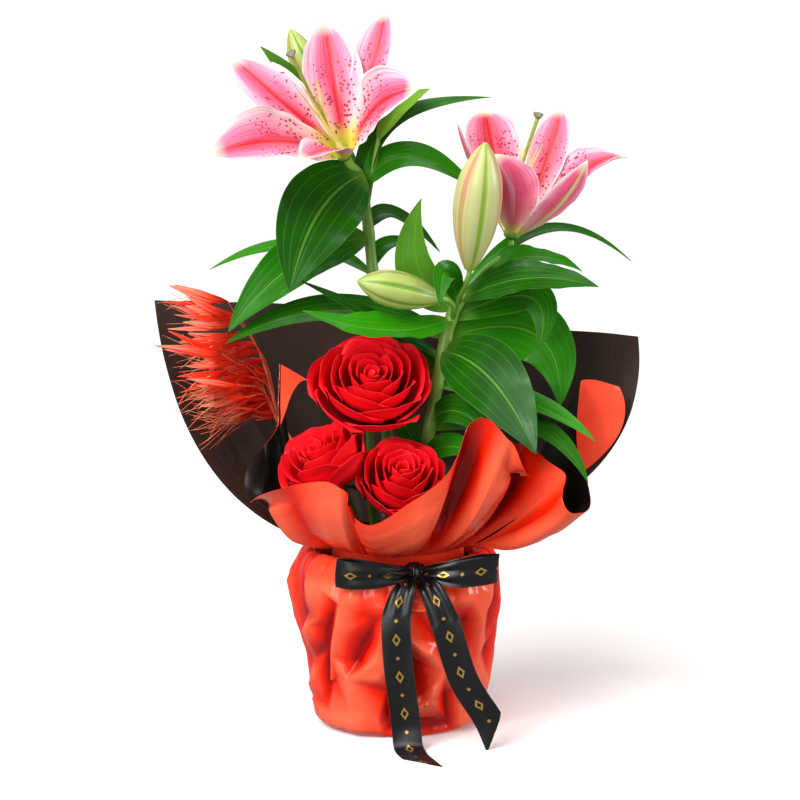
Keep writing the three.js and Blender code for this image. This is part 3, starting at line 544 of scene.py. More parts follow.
@dataclass(frozen=True)
class Tepal:
    """A fresh lily tepal: waxy and slightly see-through, pink with pale margins, its veins drawn lengthwise."""

    name: str
    throat: float = 0.2  # the share of the length that the yellow throat takes
    depth: float = 0.0  # how far the pink reaches out to the margin

    def build(self) -> Material:
        """Colours by the distance from the midrib, broken up by streaks, then by the place along for throat and tip.

        Returns:
            The material.
        """
        r = Recipe(self.name)
        across, along, both = r.grain()
        side, own, keel = r.tone()  # the free value is 1 on the outer tepals, which have a green keel
        off = r.add("ABSOLUTE", (r.add("MULTIPLY_ADD", (across, 2, -1)),))
        stretched = r.add("Mapping", {"Vector": both, "Scale": (46, 2.2, 1), "Location": (3, 0, 0)})
        streak = r.add("TexNoise", (r.add("VectorMath.ADD", (stretched, r.add("CombineXYZ", (0, 0, own)))), 1, 3))
        soft = r.add("MapRange", (streak, 0.25, 0.75, -0.2, 0.2))
        edge = r.add("SUBTRACT", (r.add("ADD", (off, soft)), self.depth))
        front = r.add("ValToRGB", (edge,), [
            (0, "#C40E20"), (1, "#F4E0E0"), (0.06, "#D42638"), (0.18, "#DE4C6A"), (0.42, "#E26488"), (0.66, "#E888A4"),
            (0.85, "#EEB4C4")
        ])
        back = r.add("ValToRGB", (edge,), [
            (0, "#E288A4"), (1, "#F6DEE4"), (0.12, "#DC4E7A"), (0.5, "#E45E86"), (0.8, "#EC92AE")
        ])
        ridge = r.add("MapRange", (edge, 0.02, 0.14, 1, 0))
        back = r.add("Mix.RGBA", (r.add("MULTIPLY", (ridge, keel)), back, "#BCCB7A"))
        colour = r.add("Mix.RGBA", (side, front, back))
        mottle = r.add("MapRange", (streak, 0, 1, -0.03, 0.05))
        place = r.add("ADD", (along, mottle))
        pale = r.add("MapRange", (place, self.throat, self.throat + 0.36, 0.75, 0))
        margin = r.add("MapRange", (off, 0.12, 0.55))
        colour = r.add("Mix.RGBA", (r.add("MULTIPLY", (pale, margin)), colour, "#F6D6CE"))
        yellow = r.add("MapRange", (place, self.throat * 0.55, self.throat * 1.25, 1, 0))
        colour = r.add("Mix.RGBA", (yellow, colour, "#D9CE4A"))
        tip = r.add("MapRange", (place, 0.86, 0.99))
        colour = r.add("Mix.RGBA", (tip, colour, "#E6E4C8"))
        return r.surface({
            "Base Color": colour, "Roughness": 0.42, "Specular IOR Level": 0.4
        }, relief=(0.35, 0.0004, streak), glow=(0.25, (1, 0.45, 0.4), 0.002))


@dataclass(frozen=True)
class Leaf:
    """A fresh lily leaf: leathery and glossy above, duller and greyer below, with pale veins from end to end."""

    name: str
    dark: str
    light: str
    under: str
    veins: float = 7.0  # how many veins there are from edge to edge
    gloss: float = 0.3

    def build(self) -> Material:
        """Draws the veins as a sine of the place across, and varies the green by leaf, along it and in patches.

        Returns:
            The material.
        """
        r = Recipe(self.name)
        across, along, _ = r.grain()
        side, own, _ = r.tone()
        place = r.add("TexCoord").outputs["Object"]
        patch = r.add("TexNoise", (place, 55, 3))
        mixed = r.add("ADD", (r.add("MULTIPLY", (own, 0.75)), r.add("MULTIPLY", (patch, 0.35))))
        green = r.add("ValToRGB", (mixed,), [(0.12, self.dark), (0.95, self.light)])
        wave = r.add("COSINE", (r.add("MULTIPLY", (across, 2 * math.pi * self.veins)),))
        vein = r.add("MapRange", (wave, 0.86, 1))
        off = r.add("ABSOLUTE", (r.add("SUBTRACT", (across, 0.5)),))
        rib = r.add("MapRange", (off, 0.008, 0.024, 1, 0))
        rim = r.add("MapRange", (off, 0.485, 0.5, 0, 0.6))
        marks = r.add("MAXIMUM", (r.add("MULTIPLY", (vein, 0.3)), r.add("MAXIMUM", (rib, rim))))
        marks = r.add("MULTIPLY", (marks, 0.34))
        top = r.add("Mix.RGBA", (marks, green, "#7FB83C"))
        low = r.add("Mix.RGBA", (marks, self.under, "#9CBB74"))
        colour = r.add("Mix.RGBA", (side, top, low))
        base = r.add("MapRange", (along, 0, 0.12, 0.55, 0))
        colour = r.add("Mix.RGBA", (base, colour, "#6FA032"))
        dent = r.add("MULTIPLY", (r.add("MAXIMUM", (vein, rib)), -0.5))
        swell = r.add("MULTIPLY", (wave, -0.12))
        height = r.add("ADD", (r.add("ADD", (dent, swell)), patch))
        wet = r.add("MapRange", (patch, 0.35, 0.65, self.gloss + 0.12, self.gloss - 0.06))
        rough = r.add("MULTIPLY_ADD", (side, 0.25, wet))
        return r.surface({
            "Base Color": colour, "Roughness": rough, "Specular IOR Level": 0.1, "Coat Weight": 0.06,
            "Coat Roughness": 0.14
        }, relief=(0.4, 0.0005, height), glow=(0.08, (0.4, 1, 0.2), 0.001))


@dataclass(frozen=True)
class Stem:
    """A green stalk: smooth skin with fine lengthwise lines, a shade paler near the top."""

    name: str
    low: str
    high: str

    def build(self) -> Material:
        """Runs from the lower to the upper green, with lines drawn by noise that is stretched along the stalk.

        Returns:
            The material.
        """
        r = Recipe(self.name)
        _, along, both = r.grain()
        lines = r.add("TexNoise", (r.add("Mapping", {"Vector": both, "Scale": (30, 3, 1)}), 1, 3))
        mixed = r.add("ADD", (along, r.add("MapRange", (lines, 0, 1, -0.3, 0.3))))
        colour = r.add("ValToRGB", (mixed,), [(0.1, self.low), (0.9, self.high)])
        return r.surface({
            "Base Color": colour, "Roughness": 0.42, "Coat Weight": 0.1, "Coat Roughness": 0.3
        }, relief=(0.3, 0.0004, lines))


@dataclass(frozen=True)
class BudSkin:
    """A closed lily bud: three pale green outer tepals with cream and pink between their green keels."""

    name: str
    green: str
    cream: str
    blush: float

    def build(self) -> Material:
        """Colours by the distance from the nearest of six ribs, greener to both ends, with lengthwise streaks.

        Returns:
            The material.
        """
        r = Recipe(self.name)
        across, along, both = r.grain()
        lines = r.add("TexNoise", (r.add("Mapping", {"Vector": both, "Scale": (55, 2.2, 1)}), 1, 3))
        rib = r.add("COSINE", (r.add("MULTIPLY", (across, 12 * math.pi)),))
        wide = r.add("COSINE", (r.add("MULTIPLY", (across, 6 * math.pi)),))
        keel = r.add("MapRange", (rib, 0.55, 1))
        pink = r.add("MapRange", (wide, -0.2, -0.95, 0, self.blush))
        pink = r.add("MULTIPLY", (pink, r.add("MapRange", (lines, 0.35, 0.62))))
        soft = r.add("MapRange", (lines, 0, 1, -0.2, 0.25))
        colour = r.add("ValToRGB", (r.add("ADD", (keel, soft)),), [(0.1, self.cream), (0.85, self.green)])
        colour = r.add("Mix.RGBA", (pink, colour, "#CC8C74"))
        ends = r.add("ABSOLUTE", (r.add("MULTIPLY_ADD", (along, 2, -1)),))
        ends = r.add("MapRange", (ends, 0.62, 1, 0, 0.85))
        colour = r.add("Mix.RGBA", (ends, colour, "#93AE38"))
        return r.surface({
            "Base Color": colour, "Roughness": 0.4, "Coat Weight": 0.1, "Coat Roughness": 0.3
        }, relief=(0.35, 0.0005, lines), glow=(0.2, (1, 0.9, 0.4), 0.002))


@dataclass(frozen=True)
class RosePetal:
    """A red rose petal: velvet, with painted shade near black at its foot deep in the bloom, a brighter lip and a
    painted highlight along its thin edge.
    """

    name: str
    painted_shade: str
    body: str
    lip: str

    def build(self) -> Material:
        """Runs from painted shade at the foot to bright red at the lip, and paints a highlight on the last half
        millimetre in places.

        Returns:
            The material.
        """
        r = Recipe(self.name)
        across, along, both = r.grain()
        side, own, _ = r.tone()
        vein = r.add("TexNoise", (r.add("Mapping", {"Vector": both, "Scale": (40, 5, 1)}), 1, 4))
        soft = r.add("MapRange", (vein, 0, 1, -0.09, 0.09))
        shift = r.add("MULTIPLY_ADD", (own, 0.16, -0.08))
        level = r.add("ADD", (r.add("ADD", (along, soft)), shift))
        # painted shade at the foot, deep in the bloom, darker on the inner side than on the outer
        inside = r.add("ValToRGB", (level,), [(0.2, self.painted_shade), (1, self.lip), (0.6, self.body)])
        outside = r.add("ValToRGB", (level,), [(0.1, self.painted_shade), (1, self.lip), (0.45, self.body)])
        colour = r.add("Mix.RGBA", (side, outside, inside))
        off = r.add("ABSOLUTE", (r.add("MULTIPLY_ADD", (across, 2, -1)),))
        # painted highlight along the petal's lip and sides, broken up by noise
        end = r.add("MAXIMUM", (r.add("MapRange", (along, 0.972, 1)), r.add("MapRange", (off, 0.965, 1))))
        lip_highlight = r.add("TexNoise", (r.add("TexCoord").outputs["Object"], 70, 2))
        lip_highlight = r.add("MapRange", (lip_highlight, 0.5, 0.72, 0, 0.55))
        colour = r.add("Mix.RGBA", (r.add("MULTIPLY", (end, lip_highlight)), colour, "#E8606A"))
        return r.surface({
            "Base Color": colour, "Roughness": 0.5, "Specular IOR Level": 0.18, "Sheen Weight": 0.1,
            "Sheen Roughness": 0.4, "Sheen Tint": (1, 0.05, 0.05, 1)
        }, relief=(0.4, 0.0004, vein), glow=(0.12, (1, 0.08, 0.06), 0.002))


@dataclass(frozen=True)
class Plain:
    """An even organic or moulded surface with fine mottling: its tones lie close together."""

    name: str
    shade: str
    lit: str
    rough: float
    grain: float = 3.0  # mm across a patch of the mottling
    relief: float = 0.2  # mm that the mottling stands up
    soft: float = 0.0

    def build(self) -> Material:
        """Mixes the two tones by noise of the grain's size, which also raises the surface.

        Returns:
            The material.
        """
        r = Recipe(self.name)
        noise = r.add("TexNoise", (r.add("TexCoord").outputs["Object"], 1 / (self.grain * METRES), 4))
        colour = r.add("ValToRGB", (noise,), [(0.3, self.shade), (0.7, self.lit)])
        return r.surface({
            "Base Color": colour, "Roughness": self.rough
        }, relief=(0.5, self.relief * METRES, noise), glow=(self.soft, (1, 0.8, 0.3), 0.0015))


@dataclass(frozen=True)
class OatHusk:
    """A dyed oat husk: papery, ribbed lengthwise, orange-red where the dye took and pale pink along its ribs."""

    name: str = "dyed_oat_husk"

    def build(self) -> Material:
        """Draws the ribs with stretched noise, and fades the dye towards the husk's open tip.

        Returns:
            The material.
        """
        r = Recipe(self.name)
        _, along, both = r.grain()
        _, own, _ = r.tone()
        ribs = r.add("TexNoise", (r.add("Mapping", {"Vector": both, "Scale": (14, 1, 1)}), 1, 2))
        fade = r.add("MULTIPLY", (along, 0.45))
        level = r.add("ADD", (r.add("ADD", (ribs, fade)), r.add("MULTIPLY_ADD", (own, 0.3, -0.15))))
        colour = r.add("ValToRGB", (level,), [(0.25, "#B80800"), (1, "#FA8A70"), (0.5, "#E61A06"), (0.8, "#F23A1C")])
        return r.surface({
            "Base Color": colour, "Roughness": 0.5, "Specular IOR Level": 0.12
        }, relief=(0.5, 0.0004, ribs), glow=(0.08, (1, 0.3, 0.2), 0.001))


class Slot(Enum):
    """The record's material slots, by name."""

    FILM = "film"
    RIBBON = "satin_ribbon"
    LEAF = "leaf_green"
    LILY = "lily_pink"
    PISTIL = "lily_pistil"
    BUD = "bud_green"
    ROSE = "rose_red"
    OATS = "dyed_oat"


class Palette:
    """Every finish of the bouquet, each built once."""

    def __init__(self) -> None:
        """Builds the materials."""
        # each film's first colour is painted shade for its deepest folds, its third painted light for its highest
        # ridges
        self.film_red = Film("satin_film_red", "#8C0000", "#E42005", "#F45E3E", 0.26, 0.32, 0.1).build()
        self.film_black = Film("satin_film_black", "#0C0807", "#30241F", "#4A3832", 0.34, 0.12, 0.18).build()
        self.ribbon = SatinRibbon().build()
        self.tepal_open = Tepal("lily_tepal_open", 0.2, 0.0).build()
        self.tepal_cup = Tepal("lily_tepal_cupped", 0.12, 0.06).build()
        self.papilla = Plain("lily_papilla", "#8E0F2E", "#B4193F", 0.4, 0.6, 0.05).build()
        self.filament = Plain("lily_filament", "#D6D87A", "#F0E79A", 0.45, 1.5, 0.04, 0.2).build()
        self.style = Plain("lily_style", "#7E9A3C", "#A9BA58", 0.42, 3.0, 0.03, 0.1).build()
        self.stigma = Plain("lily_stigma", "#5E5A45", "#8C8468", 0.5, 0.9, 0.3).build()
        self.leaf = Leaf("lily_leaf", "#0C3C03", "#287E06", "#3A6828").build()
        self.young_leaf = Leaf("lily_leaf_young", "#3F7D18", "#78A832", "#85A35A", 7.0, 0.42).build()
        self.stem = Stem("lily_stalk", "#3F7A22", "#86B23F").build()
        self.calyx = Leaf("rose_sepal", "#2C5B1A", "#6FA436", "#7C9A58", 3.0, 0.5).build()
        self.bud_pale = BudSkin("lily_bud_ripe", "#86A82E", "#BCC07E", 1.0).build()
        self.bud_green = BudSkin("lily_bud_young", "#6A962A", "#A6B85C", 0.3).build()
        # the first rose colour is painted shade at the petals' feet, deep in the bloom
        self.rose = RosePetal("rose_petal", "#64000A", "#DA0014", "#FA1826").build()
        self.husk = OatHusk().build()
        self.awn = Plain("dyed_oat_awn", "#E83418", "#F49466", 0.5, 6.0, 0.02).build()
        self.pot = Plain("moulded_pot_plastic", "#202022", "#2B2B2D", 0.5, 4.0, 0.05).build()
        self.foam = Plain("wet_flower_foam", "#1F4A26", "#35683A", 0.95, 1.2, 0.4).build()


def make(
    name: str, skins: Sequence[Skin], finishes: Sequence[Material], nodes: Sequence[str] | None = None,
    crease: float = 42.0
) -> Piece:
    """Joins skins into one piece that rides on the part and may stand for nodes of it.

    Args:
        name: the piece's name.
        skins: its closed surfaces, in millimetres.
        finishes: its materials, in the order of the skins' slots.
        nodes: the nodes that it replaces, by default the one of its own name.
        crease: the angle between faces, in degrees, over which an edge stays sharp.

    Returns:
        The object, at the origin, with its place in its mesh.
    """
    starts = np.cumsum([0, *(len(s.points) for s in skins)])
    quads = np.concatenate([s.quads + n for s, n in zip(skins, starts)])
    tris = np.concatenate([s.tris + n for s, n in zip(skins, starts)])
    own_slots = [s.slots if s.slots is not None else np.zeros(len(s.quads) + len(s.tris), int) for s in skins]
    apart = [np.split(o, [len(s.quads)]) for o, s in zip(own_slots, skins)]
    slots = np.concatenate([halves[k] for k in (0, 1) for halves in apart])
    mesh = bpy.data.meshes.new(name)
    mesh.vertices.add(int(starts[-1]))
    mesh.vertices.foreach_set("co", (np.concatenate([s.points for s in skins]) * METRES).ravel())
    corners = np.concatenate([quads.ravel(), tris.ravel()])
    mesh.loops.add(len(corners))
    mesh.loops.foreach_set("vertex_index", corners)
    mesh.polygons.add(len(quads) + len(tris))
    first = np.concatenate([4 * np.arange(len(quads)), 4 * len(quads) + 3 * np.arange(len(tris))])
    mesh.polygons.foreach_set("loop_start", first)
    mesh.polygons.foreach_set("material_index", slots)
    mesh.polygons.foreach_set("use_smooth", np.ones(len(slots), bool))
    mesh.update(calc_edges=True)
    grain = mesh.uv_layers.new(name="grain")
    grain.data.foreach_set("uv", np.concatenate([s.quad_uv.ravel() for s in skins] + [s.tri_uv.ravel() for s in skins]))
    tone = mesh.attributes.new("tone", "FLOAT_VECTOR", "POINT")
    tone.data.foreach_set("vector", np.concatenate([s.tone for s in skins]).ravel())
    for finish in finishes:
        mesh.materials.append(finish)
    mesh.set_sharp_from_angle(angle=math.radians(crease))
    piece = bpy.data.objects.new(name, mesh)
    bpy.context.scene.collection.objects.link(piece)
    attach(piece, ROOT)
    nodes = [name] if nodes is None else nodes
    if nodes:
        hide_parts(*nodes)
    LOG.info("%s: %d faces", name, len(slots))
    return piece


# ---- Leaves, tepals and stalks ----


class Outline(Enum):
    """How a blade's width runs from its root to its tip: where it is widest, how full it is, and how drawn out."""

    LEAF = (0.8, 0.74, 0.35)
    TEPAL = (1.12, 0.74, 0.25)

    def width(self, t: Array) -> Array:
        """The share of the full half width at t: a sine arch over t to the first power, raised to the second.

        The third number draws the tip out to a point.
        """
        shift, full, drawn = self.value
        return np.abs(np.sin(np.pi * t**shift)) ** full * (1 - drawn * t**8)


def pace(x: Array) -> Array:
    """Places rows along a blade so that they crowd towards both ends, where its outline turns quickly."""
    return 0.45 * x + 0.275 * (1 - np.cos(np.pi * x))


@dataclass(frozen=True)
class Blade:
    """A leaf, tepal or husk: a quadratic centre line from root by bend to tip, with a width and a cup across it.

    Attributes:
        root, bend, tip: the centre line's points.
        half: the greatest half width.
        face: the way that its upper side looks.
        cup: how far the edges rise, as a share of the half width.
        wave: the height of the ripple along the edges, and waves how often it comes.
        curl: the angles in radians that the first and the second edge roll up by, and the place along where most.
        own: its own number for its finish.
    """

    root: Point
    bend: Point
    tip: Point
    half: float
    face: Point
    cup: float = 0.2
    wave: float = 0.0
    waves: float = 2.0
    curl: tuple[float, float, float] = (0.0, 0.0, 0.5)
    own: float = 0.5

    def at(self, t: Array, s: Array, outline: Outline, ends: tuple[float, float], rib: float) -> Array:
        """Points of the middle surface.

        Args:
            t: places along, from 0 at the root to 1 at the tip.
            s: places across, from -1 to 1, in an array of the same shape.
            outline: the width's law.
            ends: the least half width at the root and at the tip.
            rib: the depth of the groove over the midrib.

        Returns:
            The points. The edges rise by cup times s squared and by the ripple, the groove is a bell round s = 0,
            and past 0.55 of the half width an edge follows an arc of its curl's angle.
        """
        a, b, c = (np.asarray(p, float) for p in (self.root, self.bend, self.tip))
        forward = unit((1 - t)[..., None] * (b - a) + t[..., None] * (c - b))
        side = unit(np.cross(forward, unit(self.face)))
        up = unit(np.cross(side, forward))
        reach = np.maximum(self.half * outline.width(t), ends[0] + (ends[1] - ends[0]) * t)
        flat = 0.55
        beyond = np.maximum(np.abs(s) - flat, 0) * reach
        most = np.where(s < 0, self.curl[0], self.curl[1]) * np.exp(-(((t - self.curl[2]) / 0.3) ** 2))
        angle = most * np.maximum(np.abs(s) - flat, 0) / (1 - flat)
        across = np.sign(s) * (np.minimum(np.abs(s), flat) * reach + beyond * np.sinc(angle / np.pi))
        lift = beyond * np.sin(angle / 2) * np.sinc(angle / 2 / np.pi)
        fine = 0.3 * np.sin(2 * np.pi * 3.4 * self.waves * t + 2 * s + 9 * self.own) * np.abs(s)
        ripple = self.wave * s * np.abs(s) * (np.sin(2 * np.pi * self.waves * t + s) + fine) * np.sin(np.pi * t)
        buckle = 0.03 * self.half * np.sin(11 * t + 20 * self.own) * np.abs(s) ** 1.5 * np.sin(np.pi * t)
        groove = rib * np.exp(-((s / 0.09) ** 2)) * np.sin(np.pi * t)
        rise = self.cup * reach * s**2 + ripple + lift + buckle - groove
        return bezier(a, b, c, t) + side * across[..., None] + up * rise[..., None]

    def skin(
        self, outline: Outline = Outline.LEAF, rows: int = 36, cols: int = 14, thick: float = 0.45,
        ends: tuple[float, float] = (1.1, 0.25), rib: float = 0.35, slot: int = 0
    ) -> Skin:
        """The closed skin, thinner towards its edges, its upper side first.

        Args:
            outline: the width's law.
            rows: how many steps there are along it, and cols how many across.
            thick: the thickness at the midrib.
            ends: the least half width at the root and at the tip.
            rib: the depth of the groove over the midrib.
            slot: the material slot.

        Returns:
            The closed skin.
        """
        t, s = np.meshgrid(pace(np.linspace(0, 1, rows + 1)), np.linspace(-1, 1, cols + 1), indexing="ij")
        middle = self.at(t, s, outline, ends, rib)
        lift = -normals(middle) * (thick / 2 * (1 - 0.6 * s**4))[..., None]
        made = slab(middle + lift, middle - lift, self.own)
        made.quad_uv[..., 1] = pace(made.quad_uv[..., 1])
        return on_slot(made, slot)


def rod(
    path: Sequence[Point], thick: Callable[[Array], Array], rings: int = 60, sides: int = 14, own: float = 0.5,
    knots: Sequence[Point] = (), slot: int = 0
) -> Skin:
    """A stalk along a smooth curve, swollen by a tenth where leaves leave it and lightly uneven elsewhere.

    Args:
        path: the points that the stalk passes through.
        thick: its radius at each place from 0 to 1.
        rings: how many steps it has, and sides how many points round it.
        own: its own number for its finish, and slot its material slot.
        knots: the places where leaves leave it.

    Returns:
        The closed skin.
    """
    t = np.linspace(0, 1, rings + 1)
    line = smooth(path, t)
    swell = 0.012 * np.sin(17 * t + 9 * own)
    for knot in knots:
        swell = swell + 0.1 * np.exp(-((np.linalg.norm(line - np.asarray(knot), axis=1) / 5.5) ** 2))
    made = tube(line, thick(t) * (1 + swell), sides, own)
    return on_slot(made, slot)


def on_slot(skin: Skin, slot: int) -> Skin:
    """Puts a whole skin on one material slot."""
    return replace(skin, slots=np.full(len(skin.quads) + len(skin.tris), slot))


@dataclass(frozen=True)
class Bud:
    """A closed bud: its foot, its tip and its greatest radius."""

    foot: Point
    tip: Point
    girth: float

    @property
    def axis(self) -> Array:
        """The way that the bud points."""
        return unit(np.subtract(self.tip, self.foot))

    def skin(self) -> Skin:
        """A smooth spindle. Six shallow furrows run along it, a cosine six times round, fading to both ends.

        Returns:
            The closed skin.
        """
        t = np.linspace(0, 1, 49)
        shares = [(0, 0.24), (0.1, 0.5), (0.3, 0.86), (0.5, 1), (0.7, 0.92), (0.87, 0.58), (0.96, 0.28), (1, 0.1)]
        radius = smooth([(*share, 0) for share in shares], t)
        long = float(np.linalg.norm(np.subtract(self.tip, self.foot)))
        sides = 72
        turn = 2 * np.pi * np.arange(sides) / sides
        furrow = 0.5 - 0.5 * np.cos(6 * turn)
        fade = np.sin(np.pi * np.clip(t, 0.04, 0.97))[:, None]
        ripple = (0.035 - 0.1 * (1 - furrow) ** 6) * fade + 0.02 * np.cos(3 * turn)
        return spindle(self.foot, self.axis, radius[:, :2] * (long, self.girth), sides, 0.5, ripple)


def carried(path: Sequence[Point], head: Bud | Lily) -> list[Array]:
    """A stalk's path led on to the foot of what it carries, square to it and just clear of it."""
    way = unit(head.axis)
    return [*(np.asarray(p, float) for p in path), head.foot - 6 * way, head.foot - 0.2 * way]


@dataclass(frozen=True)
class LilyStem:
    """A leafy lily stalk with its side twigs."""

    node: str
    path: tuple[Point, ...]
    girth: tuple[float, float]
    leaves: tuple[Blade, ...]
    twigs: tuple[tuple[Point, ...], ...]
    young: tuple[int, ...] = ()

    def build(self, colours: Palette, twigs: Sequence[Sequence[Array]], path: Sequence[Array | Point]) -> None:
        """Makes the stalk, its twigs and its leaves as one piece.

        Args:
            colours: the finishes.
            twigs: the twigs' paths, led on to what they carry.
            path: the stalk's own path, led on in the same way.
        """
        low, high = self.girth
        skins = [rod(path, lambda t: low - (low - high) * t, 130, 18, 0.4, [leaf.root for leaf in self.leaves], 1)]
        skins += [rod(twig, lambda t: 2.2 - 0.4 * t, 40, 12, 0.8, (), 1) for twig in twigs]
        for n, leaf in enumerate(self.leaves):
            own = replace(leaf, own=(0.37 * n + 0.13) % 1.0)
            rows, cols, rib = (44, 16, 0.6) if leaf.half > 10 else (32, 10, 0.4)
            skins.append(own.skin(rows=rows, cols=cols, rib=rib, slot=2 if n in self.young else 0))
        make(self.node, skins, [colours.leaf, colours.stem, colours.young_leaf])


# a tepal's bend, tip, half width, face and curl, as a Blade has them
TepalLine = tuple[Point, Point, float, Point, tuple[float, float, float]]


@dataclass(frozen=True)
class Lily:
    """An open lily: six tepals in two whorls, its style and its six bare filaments."""

    name: str
    foot: Point
    axis: Point
    inner: tuple[TepalLine, ...]
    outer: tuple[TepalLine, ...]
    stigma: Point
    seed: int
    open_wide: bool
    spots: tuple[int, int] = (64, 120)  # how many raised spots an outer and an inner tepal have
    ends: tuple[float, float] = (2.2, 0.25)  # a tepal's least half width at its root and at its tip

    def tepals(self) -> list[tuple[Blade, bool]]:
        """Each tepal with its root set on the receptacle, and whether it is one of the inner three.

        Returns:
            A blade and whether it is an inner one, for each tepal.
        """
        foot, way = np.asarray(self.foot), unit(self.axis)
        found = []
        for n, (bend, tip, half, face, curl) in enumerate([*self.outer, *self.inner]):
            within = n >= len(self.outer)
            reach = np.subtract(tip, foot)
            radial = unit(reach - way * (reach @ way))
            root = foot + 3 * way + (4 if within else 5) * radial
            wave, own = 2.4 if within else 1.0, (0.31 * n + 0.2) % 1.0
            found.append((Blade(tuple(root), bend, tip, half, face, 0.26, wave, 1.5, curl, own), within))
        return found

    def papillae(self) -> list[Skin]:
        """Small raised spots on the lower two thirds of each tepal, each a six-sided bead that is half sunk in.

        Returns:
            A closed skin for each spot.
        """
        draw = np.random.default_rng(self.seed)
        skins = []
        for spec, within in self.tepals():
            count = self.spots[within]
            t = 0.1 + 0.56 * draw.random(count) ** 0.8
            s = draw.uniform(0.16, 0.86, count) * np.where(draw.random(count) < 0.5, -1, 1)
            steps = ((0, 0), (0.01, 0), (0, 0.03))
            near = [spec.at(t + dt, s + ds, Outline.TEPAL, self.ends, 0.9) for dt, ds in steps]
            along, over = unit(near[1] - near[0]), unit(near[2] - near[0])
            up = unit(np.cross(over, along))
            size = draw.uniform(0.5, 1.05, count) * (1 - 0.35 * np.abs(t - 0.35) / 0.35)
            for point, lift, radius in zip(near[0], up, size):
                heights = np.array([-0.5, 0.35, 0.85]) * radius * 0.8
                middle = point + 0.2 * lift
                skins.append(tube(middle + heights[:, None] * lift, radius * np.array([0.75, 1.0, 0.5]), 6, 0.5, 0.0))
        return skins

    def build(self, colours: Palette) -> None:
        """Makes the tepals with their receptacle, their spots, and the style with its filaments.

        Args:
            colours: the finishes.
        """
        skins = [b.skin(Outline.TEPAL, 56, 24, 0.5, self.ends, 0.9 if within else 0.5) for b, within in self.tepals()]
        for skin, (_, within) in zip(skins, self.tepals()):
            skin.tone[:, 2] = 0.0 if within else 1.0
        cup = spindle(self.foot, self.axis, [(0, 3.4), (1.5, 5.2), (3, 6), (5, 6.1), (7, 5.2), (9, 3.4)], 24)
        tepal = colours.tepal_open if self.open_wide else colours.tepal_cup
        make(f"{self.name}_flower", [*skins, on_slot(cup, 1)], [tepal, colours.stem])
        make(f"{self.name}_papillae", self.papillae(), [colours.papilla], ())
        self.build_pistil(colours)

    def build_pistil(self, colours: Palette) -> None:
        """Makes the style, its three-lobed stigma and the filaments, which end in fine points with no anthers.

        Args:
            colours: the finishes.
        """
        way = unit(self.axis)
        seat = np.asarray(self.foot) + 5.3 * way
        stigma = np.asarray(self.stigma, float)
        long = float(np.linalg.norm(stigma - seat))
        rise = seat + 0.5 * long * way
        look = unit(stigma - rise)
        turn = 2 * np.pi * np.arange(36) / 36
        lobes = np.outer(np.array([0.1, 1, 1, 0.8, 0.5]), 0.24 * np.cos(3 * turn))
        knob = spindle(stigma, look, [(-2, 1.4), (-0.6, 2.7), (0.8, 3.3), (1.8, 2.9), (2.1, 1.6)], 36, 0.5, lobes)
        style = rod([seat, rise, stigma], lambda t: 1.25 + 0.35 * np.abs(2 * t - 1) ** 2, 60, 14)
        base = spindle(seat, way, [(0, 2.2), (4, 2.3), (8, 2.0), (10, 1.5)], 18)
        skins = [on_slot(style, 2), base, on_slot(knob, 1)]
        for n, (_, tip, *_) in enumerate([*self.outer, *self.inner]):
            lean = unit(np.subtract(tip, self.foot))
            start = seat + 3 * way
            top = blend(seat, stigma, 0.62 + 0.03 * (n % 3)) + 11 * lean
            path = [start, start + 0.3 * long * way + 3 * lean, top]
            skins.append(rod(path, lambda t: 1.0 - 0.25 * t - 0.62 * t**5, 40, 10, 0.2 + 0.1 * n))
        make(f"{self.name}_pistil", skins, [colours.filament, colours.stigma, colours.style])


# ---- Roses ----


@dataclass(frozen=True)
class Ring:
    """A ring of rose petals.

    Attributes:
        count: how many petals.
        radius: how far their lips stand from the axis, and start how far their feet do.
        rise: the height of their feet on the bloom's core, and height that of their lips.
        spread: half the angle that a petal takes.
        roll: how far its lip rolls out, in millimetres.
    """

    count: int
    radius: float
    rise: float
    height: float
    start: float
    spread: float
    roll: float


